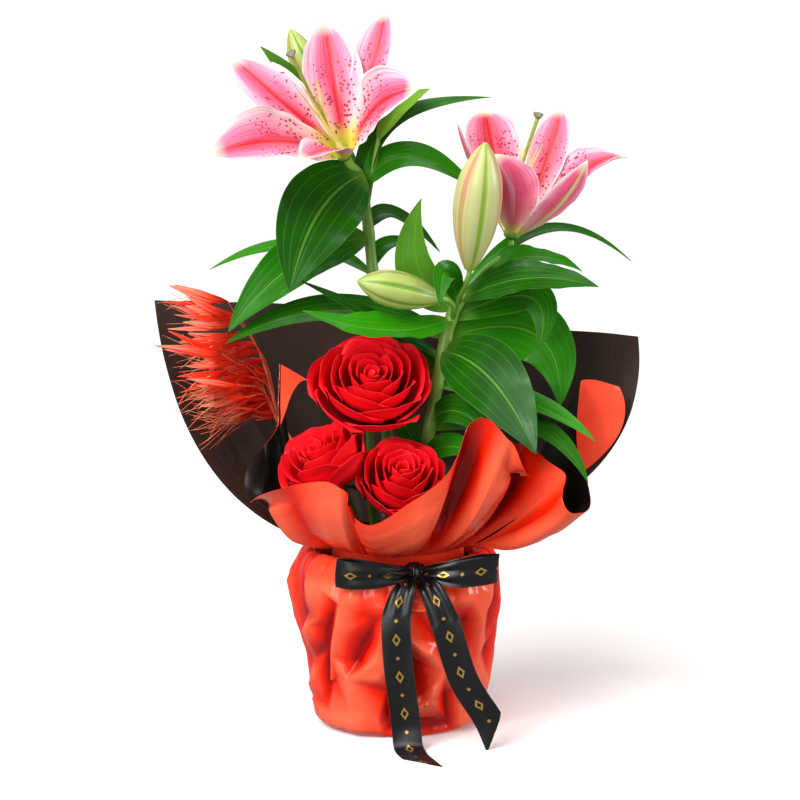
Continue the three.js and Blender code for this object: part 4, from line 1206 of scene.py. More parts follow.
@dataclass(frozen=True)
class Rose:
    """A rose bloom on its stalk."""

    name: str
    foot: Point
    axis: Point
    rings: tuple[Ring, ...]
    core: tuple[tuple[float, float], ...]
    stalk: tuple[Point, ...]
    sepal: float
    seed: int

    def petal(self, ring: Ring, turn: float, draw: np.random.Generator) -> Skin:
        """One petal.

        Its angle is its turn plus its half spread times s, narrowing to a rounded lip. Its distance from the axis
        follows a quarter sine over t, and its height grows with t and its square, which makes a bowl. Past 0.76 the
        lip follows an arc outwards, more at its sides than in its middle, so that it comes to a soft point.

        Args:
            ring: the ring that it belongs to.
            turn: its angle round the axis.
            draw: the source of its small differences.

        Returns:
            The closed skin, its outer side first.
        """
        radius, height = ring.radius * draw.uniform(0.94, 1.06), ring.height * draw.uniform(0.96, 1.03)
        own, spread = draw.random(), ring.spread * draw.uniform(0.94, 1.08)
        t, s = np.meshgrid(np.linspace(0, 1, 23), np.linspace(-1, 1, 23), indexing="ij")
        width = (0.55 + 0.45 * np.sin(np.pi / 2 * np.minimum(1.25 * t, 1))) * (1 - 0.3 * ease(t, 0.6, 1.0) ** 2)
        angle = turn + s * spread * width
        bowl = np.sin(np.pi / 2 * np.minimum(1, 1.4 * t)) ** 0.85
        out = ring.start + (radius - ring.start) * bowl + (1.2 + 0.3 * ring.roll) * s * t
        droop = 0.17 * (height - 0.5 * ring.rise) * s**4 * t**2
        high = ring.rise + 1.1 * (height - ring.rise) * (0.5 * t + 0.5 * t**2) - droop
        lip = np.clip((t - 0.76) / 0.24, 0, 1)
        bend = lip * (0.5 + 0.3 * ring.roll) * (0.8 + 0.3 * np.abs(s) ** 1.6)
        arc = 1.1 + 0.75 * ring.roll
        out = out + arc * np.sin(bend)
        high = high - arc * (1 - np.cos(bend))
        phase = 6.28 * own
        out = out + t**3 * (0.7 * np.sin(3.1 * s + phase) + 0.12 * np.sin(9 * s + 2 * phase)) * (0.4 + 0.2 * ring.roll)
        high = high + t**3 * (0.7 * np.sin(3.7 * s + phase) + 0.12 * np.sin(11 * s - phase))
        way = unit(self.axis)
        side, other = square(way)
        spoke = np.cos(angle)[..., None] * side + np.sin(angle)[..., None] * other
        grid = np.asarray(self.foot) + out[..., None] * spoke + high[..., None] * way
        thick = 0.5 * (1 - 0.55 * t**4)
        skin = sheet_skin(grid, thick, own)
        away = grid - np.asarray(self.foot)
        if float((normals(grid) * (away - (away @ way)[..., None] * way)).sum()) < 0:
            skin.tone[:, 0] = 1 - skin.tone[:, 0]
        return skin

    def build(self, colours: Palette) -> None:
        """Makes the bloom and its stalk.

        Args:
            colours: the finishes.
        """
        draw = np.random.default_rng(self.seed)
        skins = [spindle(self.foot, self.axis, self.core, 20, 0.3)]
        for n, ring in enumerate(self.rings):
            turns = 2 * np.pi * (np.arange(ring.count) + 0.5 * n) / ring.count + 0.37 * n
            skins += [self.petal(ring, float(a + draw.uniform(-0.16, 0.16)), draw) for a in turns]
        make(f"{self.name}_bloom", skins, [colours.rose])
        self.build_stalk(colours)

    def build_stalk(self, colours: Palette) -> None:
        """Makes the stalk, the green cup under the bloom and its five reflexed sepals.

        Args:
            colours: the finishes.
        """
        way = unit(self.axis)
        seat = np.asarray(self.foot) - 0.3 * way
        side, other = square(way)
        path = [*self.stalk, seat - 20 * way, seat - 6 * way]
        hip = spindle(seat - 8 * way, way, [(0, 2.6), (2, 3.9), (4, 4.9), (6.5, 5.3), (8, 4.8)], 24)
        skins = [rod(path, lambda t: 2.9 - 0.5 * t, 90, 14, 0.3), hip]
        for n in range(5):
            turn = 2 * np.pi * n / 5 + 0.4
            out = np.cos(turn) * side + np.sin(turn) * other
            places = ((-3, 3 / self.sepal), (-3, 1.0), (-9, 1.3))
            line = (tuple(seat + h * way + r * self.sepal * out) for h, r in places)
            sepal = Blade(*line, 2.6, tuple(way), 0.35, 0.5, 1.5, own=0.2 * n)
            skins.append(sepal.skin(rows=20, cols=8, rib=0.25, slot=1))
        make(f"{self.name}_stem", skins, [colours.stem, colours.calyx])


# ---- Dyed oats ----


@dataclass(frozen=True)
class OatBunch:
    """Oat heads that fan out of one bunch. Each bears spikelets of papery husks with long stiff awns."""

    stalk: tuple[Point, ...]
    tips: tuple[Point, ...]
    spikelets: int
    seed: int
    husk: tuple[float, float] = (24, 35)  # the least and the greatest length of a husk
    half: tuple[float, float] = (2.0, 3.1)  # and of its half width
    awn: tuple[float, float] = (12, 32)  # and of an awn past its knee
    hang: Point = (-0.85, -0.12, -0.16)  # the way that the spikelets lean
    bound: Point = (-167.0, -80.0, 150.0)  # the corner that no awn passes

    def spikelet(
        self, base: Array, way: Array, size: float, draw: np.random.Generator
    ) -> tuple[list[Skin], list[Skin]]:
        """The husks and the awns of one spikelet: boat-shaped blades that part from the way by up to a fifth.

        Args:
            base: the foot of the spikelet, and way the direction that it points in.
            size: its scale.
            draw: the source of its differences.

        Returns:
            The husks' skins and the awns' skins.
        """
        side, other = square(unit(way))
        husks, awns = [], []
        start = draw.uniform(0, 2 * np.pi)
        for n in range(3):
            turn = start + 2 * np.pi * n / 3
            off = np.cos(turn) * side + np.sin(turn) * other
            long, half = size * draw.uniform(*self.husk), size * draw.uniform(*self.half)
            tip = base + long * unit(way + 0.2 * off)
            bend = base + 0.45 * long * unit(way + 0.42 * off)
            husk = Blade(tuple(base), tuple(bend), tuple(tip), half, tuple(-off), 0.75, own=draw.random())
            husks.append(husk.skin(rows=6, cols=4, thick=0.3, ends=(0.5, 0.15), rib=0.0))
        for _ in range(3):
            stray = np.array([draw.uniform(-0.1, 0.35), draw.uniform(-0.3, 0.3), draw.uniform(-0.8, 0.6)])
            foot = base + 12 * unit(way)
            knee = foot + 14 * unit(way + 0.3 * stray)
            end = np.maximum(knee + draw.uniform(*self.awn) * unit(unit(way) + stray), self.bound)
            awns.append(rod([foot, knee, end], lambda t: 0.3 - 0.2 * t, 8, 4, draw.random(), (), 1))
        return husks, awns

    def build(self, colours: Palette) -> None:
        """Makes the bunch as one piece.

        Args:
            colours: the finishes.
        """
        draw = np.random.default_rng(self.seed)
        fan = np.asarray(self.stalk[-1], float)
        skins = [rod(self.stalk, lambda t: 3 - 0.6 * t, 60, 12, 0.5, (), 1)]
        for tip in self.tips:
            path = [fan, blend(fan, tip, 0.48) + (2, 10, 9), np.asarray(tip, float)]
            skins.append(rod(path, lambda t: 0.8 - 0.4 * t, 30, 6, 0.6, (), 1))
            for share in np.linspace(0.14, 1.0, self.spikelets):
                near = smooth(path, np.array([share - 0.01, share]))
                way = 0.3 * unit(near[1] - near[0]) + np.array(self.hang) + draw.uniform(-0.26, 0.26, 3)
                # the upper spikelets are the largest
                size = float(np.interp(near[1][2], (215, 236, 254, 260), (0.6, 1.05, 1.1, 1.5)))
                for made in self.spikelet(near[1], unit(way), size, draw):
                    skins += made
        for skin in skins:  # the sheet behind presses the outer heads forwards
            back = np.maximum(skin.points[:, 1] - np.interp(skin.points[:, 0], (-128, -112, -98), (-18, 2, 60)), 0)
            skin.points[:, 1] -= 0.88 * back
        make("oat_bunch", skins, [colours.husk, colours.awn])


# ---- The film ----

FILM = 0.35  # the film's thickness, drawn four times as thick as real film so that its edges show
NECK_LOW, NECK_TIE, NECK_HIGH = 112.0, 113.5, 125.0  # heights in the tied neck


def film_skin(grid: Array, own: float = 0.5, rim: int = 0, level: float | Array = 0.5) -> Skin:
    """Thickens a grid of film, red on the side away from the bouquet's axis and black on the other.

    Args:
        grid: the film's middle surface.
        own: its own number for its finish.
        rim: the material slot of its cut edges.
        level: how high in the folds each point is, from 0 to 1, which sets its painted shade.

    Returns:
        The closed skin.
    """
    out = normals(grid)
    away = grid * (1.0, 1.0, 0.0)
    out = out if float((out * away).sum()) > 0 else -out
    made = slab(grid + out * FILM / 2, grid - out * FILM / 2, own, level, 1)
    made.slots[-2 * (sum(grid.shape[:2]) - 2) :] = rim
    return made


@dataclass(frozen=True)
class Column:
    """A line up a collar: its angle at the neck, its end on the rim, and its lean.

    The angle is in degrees from the front towards +X. The lean is the point that the film leans out to on the way
    up, or a share: at 1 it goes out first and then up.
    """

    turn: float
    rim: Point
    lean: Point | float


@dataclass(frozen=True)
class Curl:
    """A place where the rim rolls outwards: its column, its half width in columns, where it starts, and its angle."""

    middle: float
    wide: float
    start: float
    angle: float


@dataclass(frozen=True)
class Collar:
    """A collar of film that stands in the neck and opens to its rim."""

    columns: tuple[Column, ...]
    radius: float
    flare: float
    long: float
    seed: int
    crumple: float = 1.0
    ridges: tuple[tuple[float, float], ...] = ((0, 0),)
    curls: tuple[Curl, ...] = ()
    plain: float = 99.0  # the column past which the film is a plain flap, which takes none of the painted fold shade

    def foot(self, turn: Array, height: Array | float) -> Array:
        """The point at an angle and a height on the neck's cylinder.

        Args:
            turn: the angle in degrees from the front towards +X.
            height: the height.

        Returns:
            The points.
        """
        a = np.radians(turn)
        a, height = np.broadcast_arrays(a, height)
        return np.stack([self.radius * np.sin(a), -self.radius * np.cos(a), height], -1)

    def lean_point(self, column: Column) -> Array:
        """The point that a column leans out to.

        Args:
            column: the column.

        Returns:
            The point.
        """
        if not isinstance(column.lean, float):
            return np.asarray(column.lean, float)
        foot, rim = self.foot(np.array(column.turn), self.flare), np.asarray(column.rim)
        out, up = 0.55 + 0.35 * column.lean, 0.4 - 0.28 * column.lean
        return foot + np.array([out, out, up]) * (rim - foot)

    def at(self, u: Array, t: Array) -> Array:
        """Points of the collar.

        Args:
            u: places along the rim from 0 to 1.
            t: places up the collar, from -1 at the neck's low end by 0 at the flare to 1 at the rim.

        Returns:
            The points. Below the flare they stand on a cylinder, and above it each column is a quadratic curve whose
            foot, lean and rim run along smooth curves in u.
        """
        turn = smooth(np.array([(c.turn, 0, 0) for c in self.columns]), u)[..., 0]
        rims = smooth(np.array([c.rim for c in self.columns]), u)
        leans = smooth(np.array([self.lean_point(c) for c in self.columns]), u)
        up = bezier(self.foot(turn, self.flare), leans, rims, np.maximum(t, 0))
        neck = self.foot(turn, self.flare + np.minimum(t, 0) * (self.flare - NECK_LOW))
        return np.where((t <= 0)[..., None], neck, up)

    def grid(self, spans: int = 340, rows: int = 90) -> tuple[Array, Array]:
        """The collar's middle surface with its folds and curls, and how high in the folds each point is, which sets its
        painted shade.

        Ridges run straight up from the flare, at the columns and with the heights that are named, and facets of
        three sizes lie over them. At a curl the last part of a column follows an arc away from the axis instead.

        Args:
            spans: how many points there are along the rim, and rows how many up the collar.

        Returns:
            The grid of points, and for each a level from 0 to 1 that sets how much painted shade its colour takes.
        """
        up = np.concatenate([np.linspace(-1, 0, 7)[:-1], np.linspace(0, 1, rows) ** 1.15])
        t, u = np.meshgrid(up, np.linspace(0, 1, spans), indexing="ij")
        base = self.at(u, t)
        out = normals(base)
        out = out if float((out * base * (1, 1, 0)).sum()) > 0 else -out
        draw = np.random.default_rng(self.seed)
        x, y = u[0] * self.long, t[:, 0] * 100
        sizes = ((1.7, (30, 60)), (0.8, (17, 24)), (0.25, (7, 9)))  # the height and the cell of each
        relief = sum(high * facets(x, y, cell, draw) for high, cell in sizes)
        rays = np.abs(((x / 17.0 + 0.3 * np.sin(x / 23.0)) % 1.0) - 0.5) * 2 - 0.5
        rays = 1.5 * rays * ease(t, 0.0, 0.12) * (1 - ease(t, 0.15, 0.55))
        height = self.crumple * relief * ease(t, 0.03, 0.4) + rays
        column = u * (len(self.columns) - 1)
        ridge = np.interp(column, *np.array(self.ridges).T) * ease(t, 0.0, 0.5) * (1 - 0.5 * ease(t, 0.7, 1.0))
        past = ease(column, self.plain, self.plain + 1.0)
        # painted shade: this level darkens the film's colour in its valleys and lightens it on its ridges
        level = np.clip(0.6 + ridge * (1 - past) / 11 + height / 24 + 0.1 * past, 0, 1)
        height = height + ridge
        grid = base + out * height[..., None]
        for curl in self.curls:
            grid = self.rolled(grid, out, u, t, curl)
        return grid, level

    def rolled(self, grid: Array, out: Array, u: Array, t: Array, curl: Curl) -> Array:
        """Rolls the rim at one curl into an arc, whose angle fades from the curl's own to nothing at its sides.

        Args:
            grid: the collar's points, and out the directions that they may rise in.
            u: the points' places along the rim, and t those up the collar.
            curl: the curl.

        Returns:
            The points with the curl in them.
        """
        window = np.exp(-(((u * (len(self.columns) - 1) - curl.middle) / curl.wide) ** 2))
        near = self.at(u, np.full_like(t, curl.start))
        ahead = unit(self.at(u, np.full_like(t, curl.start + 0.02)) - near)
        reach = np.linalg.norm(self.at(u, t) - near, axis=-1)
        angle = np.maximum(curl.angle * window, 1e-3)
        full = np.linalg.norm(self.at(u, np.ones_like(t)) - near, axis=-1)
        share = angle * reach / full
        arc = (full / angle)[..., None]
        rolled = near + arc * (np.sin(share)[..., None] * ahead + (1 - np.cos(share))[..., None] * out)
        past = (ease(t, curl.start, curl.start + 0.03) * ease(window, 0.02, 0.25))[..., None]
        return grid * (1 - past) + rolled * past


@dataclass(frozen=True)
class Wrap:
    """The two-tone film round the pot: the pouch, the front collar with its folded corner, and the back sheet."""

    pouch: tuple[tuple[float, float], ...] = (
        (8, 0.2), (31, 0.2), (52, 0.2), (57, 2.5), (61.5, 22), (66.5, 46), (71, 70), (73.5, 91), (73, 108), (69.5, 119),
        (62, 124.5), (56, 119.5), (52.5, 110), (48.5, 107.5), (45.8, 112), (45.8, 133)
    )
    # the corners of the pouch's folds in front: degrees towards +X, height, and how far out
    folds: tuple[Point, ...] = (
        *((turn, level, 0.0) for turn in range(-88, 89, 22) for level in (-4.0, 122.0)), (-80, 100, 0), (-80, 58, -3),
        (-80, 20, 3), (-67, 107, -4), (-67, 82, -5), (-64, 52, -3), (-58, 106, 4), (-58, 76, 5), (-57, 42, 4),
        (-56, 14, 3), (-43, 106, 4), (-47, 84, 2), (-37, 96, -3), (-42, 80, -5), (-47, 60, -5), (-51, 38, -5),
        (-55, 20, -2), (-31, 97, 4), (-34, 80, 5), (-40, 58, 4), (-43, 40, 3), (-22, 100, 3), (-14, 97, 1),
        (-12, 86, -3), (-18, 70, -5), (-25, 55, -5), (-41, 39, -1), (-9, 72, 3), (-13, 58, 5), (-21, 50, 4),
        (-31, 43, 4), (-11, 46, 4), (-48, 12, 4), (-28, 10, 5), (-13, 12, 3), (-7, 36, -3), (-7, 14, -5), (0, 60, 3),
        (1, 20, 4), (2, 97, 2), (4, 76, 4), (11, 92, -1), (9, 60, -4), (11, 28, -4), (18, 96, 2), (17, 64, 5),
        (20, 28, 5), (24, 69, -3), (31, 58, -5), (27, 48, 4), (33, 30, -5), (38, 10, -5), (41, 38, 4), (45, 14, 5),
        (32, 99, 3), (38, 82, -4), (41, 98, 4), (50, 84, 5), (50, 54, 3), (57, 98, 5), (60, 62, 0), (66, 92, -5),
        (65, 58, -5), (72, 30, 4), (78, 84, 2), (80, 56, 3)
    )
    girth: float = 66.0  # the pouch's mean radius, on which its folds are laid out
    front: Collar = Collar(
        radius=46.7, flare=NECK_HIGH + 1.5, long=420.0, seed=4,
        columns=tuple(Column(*c) for c in (
            (-108, (-83, 28, 249), 0.75), (-102, (-83, 22, 236), 0.75), (-96, (-83, 16, 222), 0.75),
            (-90, (-83, 9, 209), 0.75), (-83, (-91, -5, 197), 0.75), (-76, (-96, -21, 186), 0.75),
            (-69, (-95, -37, 177), 0.75), (-61, (-87, -57, 179), 0.75), (-50, (-66, -78, 184), 0.7),
            (-38, (-44, -90, 188), 0.6), (-30, (-34, -94, 182), 0.5), (-23, (-34, -91, 169), 0.5),
            (-16, (-20, -90, 158), 0.5), (-4, (8, -95, 175), 0.5), (8, (28, -100, 191), 0.4),
            (17, (41, -102, 207), 0.3), (25, (56, -98, 230), 0.2), (33, (73, -99, 219), 0.2), (39, (80, -92, 207), 0.2),
            (43, (74, -80, 200), 0.1), (48, (76, -66, 200), 0.1), (54, (86, -60, 206), 0.1),
            (60, (101, -66, 197), 0.15), (65, (114, -74, 189), 0.2), (69, (109, -86, 179), 0.25),
            (73, (114, -86, 168), 0.3), (78, (127, -76, 167), 0.3), (83, (128, -60, 183), 0.3),
            (89, (125, -38, 203), 0.3), (94, (130, -12, 236), 0.35), (96, (132, -8, 242), 0.38),
            (98, (138, -6, 242), 0.4), (104, (156, 2, 238), (180, -14, 188))
        )),
        ridges=(
            (0, 0), (6.3, -1), (6.9, 5), (7.7, -3), (8.6, 4), (9.6, 6), (10.8, -8), (11.4, -1), (13.4, 4), (14.4, 1),
            (15.6, -10), (16.2, -6), (17.0, 7), (18.1, 2), (18.6, 8), (19.3, -10), (20.9, -10), (21.9, -2), (23.0, 2),
            (24.0, -3), (25.2, 7), (26.4, 6), (28, -3), (29, -8), (32, -8)
        ),
        curls=(Curl(6.0, 1.35, 0.8, 2.3), Curl(18.5, 0.8, 0.84, 2.9)), plain=27.5
    )
    back: Collar = Collar(
        radius=48.0, flare=NECK_HIGH - 0.5, long=520.0, seed=8, crumple=0.45,
        columns=tuple(Column(*c) for c in (
            (-86, (-170, 12, 297), (-153, -30, 155)), (-105, (-142, 42, 292), (-124, 16, 154)),
            (-124, (-100, 66, 289), (-90, 52, 166)), (-146, (-58, 80, 284), (-50, 74, 174)),
            (-172, (1, 89, 275), (0, 84, 180)), (-202, (62, 87, 269), (50, 82, 180)),
            (-228, (116, 74, 268), (98, 62, 176)), (-250, (148, 50, 269), (146, 28, 164)),
            (-266, (169, 22, 270), (180, -8, 172)),
        )),
    )
    ear_columns: float = 3.0  # how many columns the folded corner's crease takes
    ear_corner: Point = (-62, 1, 241)

    def build(self, colours: Palette) -> None:
        """Makes the three film pieces.

        Args:
            colours: the finishes.
        """
        film = [colours.film_red, colours.film_black]
        make("film_pouch", [self.pouch_skin()], film, ["wrap_pouch"], 50.0)
        make(
            "film_front_collar", [self.collar_skin(self.front, 0.5, 0), self.ear_skin()], film,
            ["wrap_front"], 50.0
        )
        make("film_back_sheet", [self.collar_skin(self.back, 0.7, 1)], film, ["wrap_back"], 50.0)

    def collar_skin(self, collar: Collar, own: float, rim: int) -> Skin:
        """A collar as a closed skin.

        Args:
            collar: the collar.
            own: its own number for its finish.
            rim: the material slot of its cut edges.

        Returns:
            The closed skin.
        """
        grid, level = collar.grid()
        made = film_skin(grid, own, rim, level)
        if collar is self.front:
            made.tone[level.size :, 2] = 0.05  # no light reaches its black side, which faces the planting
        return made

    def pouch_skin(self) -> Skin:
        """The pouch round the pot: a lathed profile, crumpled below and drawn into pleats towards the neck.

        The radius and the height run along smooth curves through the profile. In front the named folds and elsewhere
        facets of three sizes raise and lower the wall, and a zigzag round it deepens towards the neck. By the knot
        the shoulder is pressed in. The inner wall has every fourth ring, and takes the lowest height near each point.

        Returns:
            The closed skin.
        """
        rings, sides, coarse = 190, 400, 4
        place = np.linspace(0, 1, rings)
        profile = smooth(np.array([(r, z, 0) for r, z in self.pouch]), place)
        turn = 2 * np.pi * (np.arange(sides) / sides - 0.5)  # from the front towards +X
        r, theta = np.meshgrid(profile[:, 0], turn - np.pi / 2, indexing="ij")
        z = np.broadcast_to(profile[:, 1:2], r.shape)
        slope = np.gradient(profile[:, :2], axis=0)
        out = unit(np.stack([slope[:, 1], -slope[:, 0]], -1))[:, None, :]
        run = np.concatenate([[0], np.cumsum(np.linalg.norm(np.diff(profile[:, :2], axis=0), axis=1))])
        round_wall = 2 * np.pi * self.girth
        x = turn / (2 * np.pi) * round_wall
        draw = np.random.default_rng(15)
        sizes = ((6.5, (29, 40)), (2.2, (13, 21)), (0.5, (6, 8)))
        large, small, fine = (high * facets(x, run, cell, draw, round_wall) for high, cell in sizes)
        degrees, level, high = np.array(self.folds, float).T
        top = int(np.argmax(profile[:, 1]))
        corners = np.column_stack([degrees / 360 * round_wall, np.interp(level, profile[:top, 1], run[:top])])
        named = folded(corners, high, x, run)
        front = 1 - ease(np.abs(np.degrees(turn)), 72, 88)
        relief = large * (1 - front) + named * front + small * (1 - 0.7 * front) + fine
        wall = ease(z, 0.5, 7) * ease(r, 46, 60)
        pleat = np.abs(((x / round_wall * 25 + 0.35 * np.sin(x / round_wall * 4 * np.pi)) % 1.0) - 0.5) * 2 - 0.5
        relief = np.clip(relief, -5.5, 5.5) * (1 - 0.6 * ease(z, 100, 120)) + 2.6 * pleat * ease(z, 84, 112)
        deepest, highest = -4.2 - 1.3 * ease(z, 12, 36), 5.5 - 4.5 * ease(z, 100, 116)
        height = wall * np.clip(relief, deepest, highest)
        sunk = np.min([np.roll(height, (i, j), (0, 1)) for i in range(-4, 5, 2) for j in (-2, 0, 2)], axis=0)
        knot = np.clip(np.cos(theta + np.radians(77)), 0, 1) ** 24
        knot = knot * ease(z, 90, 114) * (1 - ease(z, 127, 132)) * (place < 0.97)[:, None]
        lining = FILM + 1.0 - ease(place, 0.9, 1.0)[:, None]
        walls = []
        for high, inset in ((height, 0.0), (sunk, lining)):
            reach = r + out[..., 0] * (high - inset) - 5.0 * knot * ease(z, 90, 104) * (1 - ease(z, 112, 120))
            level = np.maximum(z + out[..., 1] * (high - inset) - 12.0 * knot, inset)
            walls.append(np.stack([reach * np.cos(theta), reach * np.sin(theta), level], -1))
        skin = np.concatenate([walls[0], walls[1][::-coarse]])
        made = capped(skin, [(0, 0, skin[0, 0, 2]), (0, 0, skin[-1, 0, 2])])
        level = np.clip(0.5 + height / (24 - 14 * front), 0, 1)  # painted shade: the lower a point lies in the folds the deeper its colour, and the facets away from the front take less of it
        level = np.concatenate([level, level[::-coarse]]).ravel()
        made.tone[:] = 0.5
        made.tone[: len(level), 2] = level
        inner = np.arange(len(made.quads)) // len(turn) >= len(place)
        return replace(made, slots=np.concatenate([inner.astype(int), np.repeat([0, 1], len(turn))]))

    def ear_skin(self) -> Skin:
        """The folded corner: straight lines from the crease to the loose corner, bowed forwards between them.

        Returns:
            The closed skin.
        """
        share, across = np.meshgrid(np.linspace(0, 1, 25), np.linspace(0, 1, 25), indexing="ij")
        root = self.front.at(share * self.ear_columns / (len(self.front.columns) - 1), np.ones_like(share))
        free = blend(self.ear_corner, root, 0.96 * share)
        bow = np.sin(np.pi * across) * (1 - share)
        grid = blend(root, free, across) + bow[..., None] * np.array([0.5, -2.0, 0.5])
        return film_skin(grid, 0.3, 0, 0.75)


# ---- The ribbon ----

RIBBON = 0.35  # the ribbon's thickness


@dataclass(frozen=True)
class Strip:
    """A length of ribbon along a path.

    Attributes:
        name: the piece's name.
        across: the direction of its width at the start and at the end.
        pinch: its share of the full width at even steps along it.
        cut: the share of the length by which its first and its second edge end short, cut straight across.
        held: how it is held, as folded or hung.
        path: the points that its middle line passes through.
    """

    name: str
    across: tuple[Point, Point]
    pinch: tuple[float, ...]
    cut: tuple[float, float]
    held: str
    path: Array

    def build(self, colours: Palette, width: float, with_pieces: Sequence[Piece] = ()) -> Piece:
        """Makes the strip.

        Across the strip the points lie along the width's direction. Where it is pinched, a cosine with two waves over
        the width takes up the cloth, as high as the lost width needs.

        Args:
            colours: the finishes.
            width: the ribbon's full width.
            with_pieces: the pieces that are cut from the same length; not used.

        Returns:
            The piece.
        """
        rows, cols = 150, 27
        t, s = np.meshgrid(np.linspace(0, 1, rows), np.linspace(-1, 1, cols), indexing="ij")
        place = t * (1 - (self.cut[0] * (1 - s) + self.cut[1] * (1 + s)) / 2)
        line = smooth(self.path, place)
        way = unit(blend(*unit(self.across), place))
        share = np.interp(place, np.linspace(0, 1, len(self.pinch)), self.pinch)
        middle = smooth(self.path, np.linspace(0, 1, rows))
        ahead, behind = (smooth(self.path, np.clip(place + step, 0, 1)) for step in (0.005, -0.005))
        forward = unit(ahead - behind)
        lift = unit(np.cross(forward, way))
        fold = 1.1 * np.sqrt(np.clip(1 - share**2, 0, 1)) * width / (4 * np.pi) * np.cos(2 * np.pi * s + 1.2)
        sway = 0.5 * np.sin(9 * place + 2 * s) * np.clip(share, 0, 1)
        grid = line + way * (s * share * width / 2)[..., None] + lift * (fold + sway)[..., None]
        grid[..., 2] = np.maximum(grid[..., 2], 0.3)
        steps = np.linalg.norm(np.diff(middle, axis=0), axis=1)
        run = np.concatenate([[0], np.cumsum(steps)])
        free = np.interp(place, np.linspace(0, 1, rows), run) * METRES
        piece = make(self.name, [sheet_skin(grid, RIBBON, 0.5, free)], [colours.ribbon], ["ribbon_bow"])
        return piece


@dataclass(frozen=True)
class Ribbon:
    """Satin ribbon tied round the neck with a bow."""

    width: float = 20.0
    gathered: float = 8.0
    band: float = 49.15
    knot: Point = (12, -57, 118)

    def strips(self) -> list[Strip]:
        """The two loops and the two tails, whose paths are laid out from the knot.

        Returns:
            The four strips, the left loop first.
        """
        upright = ((0.04, -0.12, 1.0),) * 2
        pinch = (0.3, 0.55, 0.95, 1.0, 1.0, 0.9, 0.55, 0.3)
        loops_and_tails = (
            ("ribbon_loop_left", upright, pinch, (0.0, 0.0), "folded", (
                (0, -2, 0), (-11, -16, 1), (-28, -21, 2), (-46, -20, 2), (-54, -15, 3), (-44, -12, 4), (-22, -10, 3),
                (-2, 0, 0)
            )),
            ("ribbon_loop_right", upright, pinch, (0.0, 0.0), "folded", (
                (0, -2, 0), (12, -16, 2), (29, -21, 3), (47, -19, 5), (56, -14, 6), (45, -11, 6), (22, -9, 4), (2, 0, 0)
            )),
            (
                "ribbon_tail_left", ((1, -0.1, 0.1), (1, 0.1, 0)), (0.35, 0.8, 1, 1, 1, 1, 1, 1, 1), (0.08, 0.0),
                "hung",
                (
                    (-2, -5, -3), (-8, -19, -7), (-13, -25, -25), (-12, -26, -55), (-8, -26, -88), (-6, -26, -106),
                    (-5, -29, -114.5), (-2, -38, -117.5), (8, -66, -117.5)
                )
            ),
            (
                "ribbon_tail_right", ((1, -0.1, 0.3), (0.93, 0.1, 0.36)), (0.35, 0.8, 1, 1, 1, 1), (0.0, 0.22), "hung",
                ((3, -5, -3), (10, -19, -7), (20, -24, -30), (33, -25, -70), (50, -25, -98), (58, -26, -116.5))
            )
        )
        return [Strip(*spec, path=np.add(path, self.knot)) for *spec, path in loops_and_tails]

    def build(self, colours: Palette) -> None:
        """Makes the band, the knot, the loops and the tails.

        Args:
            colours: the finishes.
        """
        self.build_band(colours)
        knot = make("ribbon_knot", [self.knot_skin()], [colours.ribbon], ["ribbon_bow"])
        for n, strip in enumerate(self.strips()):
            strip.build(colours, self.width, [knot] if n == 0 else [])

    def knot_skin(self) -> Skin:
        """The knot: a short spindle across the bow, with folds round it that its radius makes by rising and falling.

        Returns:
            The closed skin.
        """
        x, y, z = self.knot
        s = np.linspace(0, 16, 49)
        folds = 0.45 * np.cos(1.9 * s) * np.sin(np.pi * s / 16)
        radius = np.interp(s, [0, 3, 8, 13, 16], [3.5, 6.2, 7.1, 6.2, 3.5]) + folds
        turn = 2 * np.pi * np.arange(40) / 40
        ripple = 0.05 * np.sin(2 * turn[None, :] + 0.4 * s[:, None]) + 0.02 * np.sin(5 * turn[None, :] + s[:, None])
        made = spindle((x - 8, y, z), (1, 0, 0), np.column_stack([s, radius]), 40, 0.5, ripple)
        made.quad_uv[..., 0] = 0.5 + 0.3 * (made.quad_uv[..., 0] - 0.5)
        made.tone[:, 2] = 0.008
        return made

    def build_band(self, colours: Palette) -> None:
        """Makes the band: once round the neck in a slow spiral, gathered into soft folds that run round it.

        Args:
            colours: the finishes.
        """
        t, s = np.meshgrid(np.linspace(0, 1, 260), np.linspace(-1, 1, 23), indexing="ij")
        turn = 2 * np.pi * t - np.pi / 2 + 0.2
        wave = 3.1 * s + 0.6 * np.sin(3 * turn) + 1.4 * np.sin(turn)
        radius = self.band + 0.6 + 1.45 * np.cos(2.3 * wave) + 0.4 * t
        grid = np.stack([radius * np.cos(turn), radius * np.sin(turn), NECK_TIE + s * self.gathered / 2], -1)
        free = t * 2 * np.pi * self.band * METRES
        piece = make(
            "ribbon_band_satin", [sheet_skin(grid, RIBBON, 0.5, free + 0.006)], [colours.ribbon],
            ["ribbon_band"]
        )


# ---- The planting ----


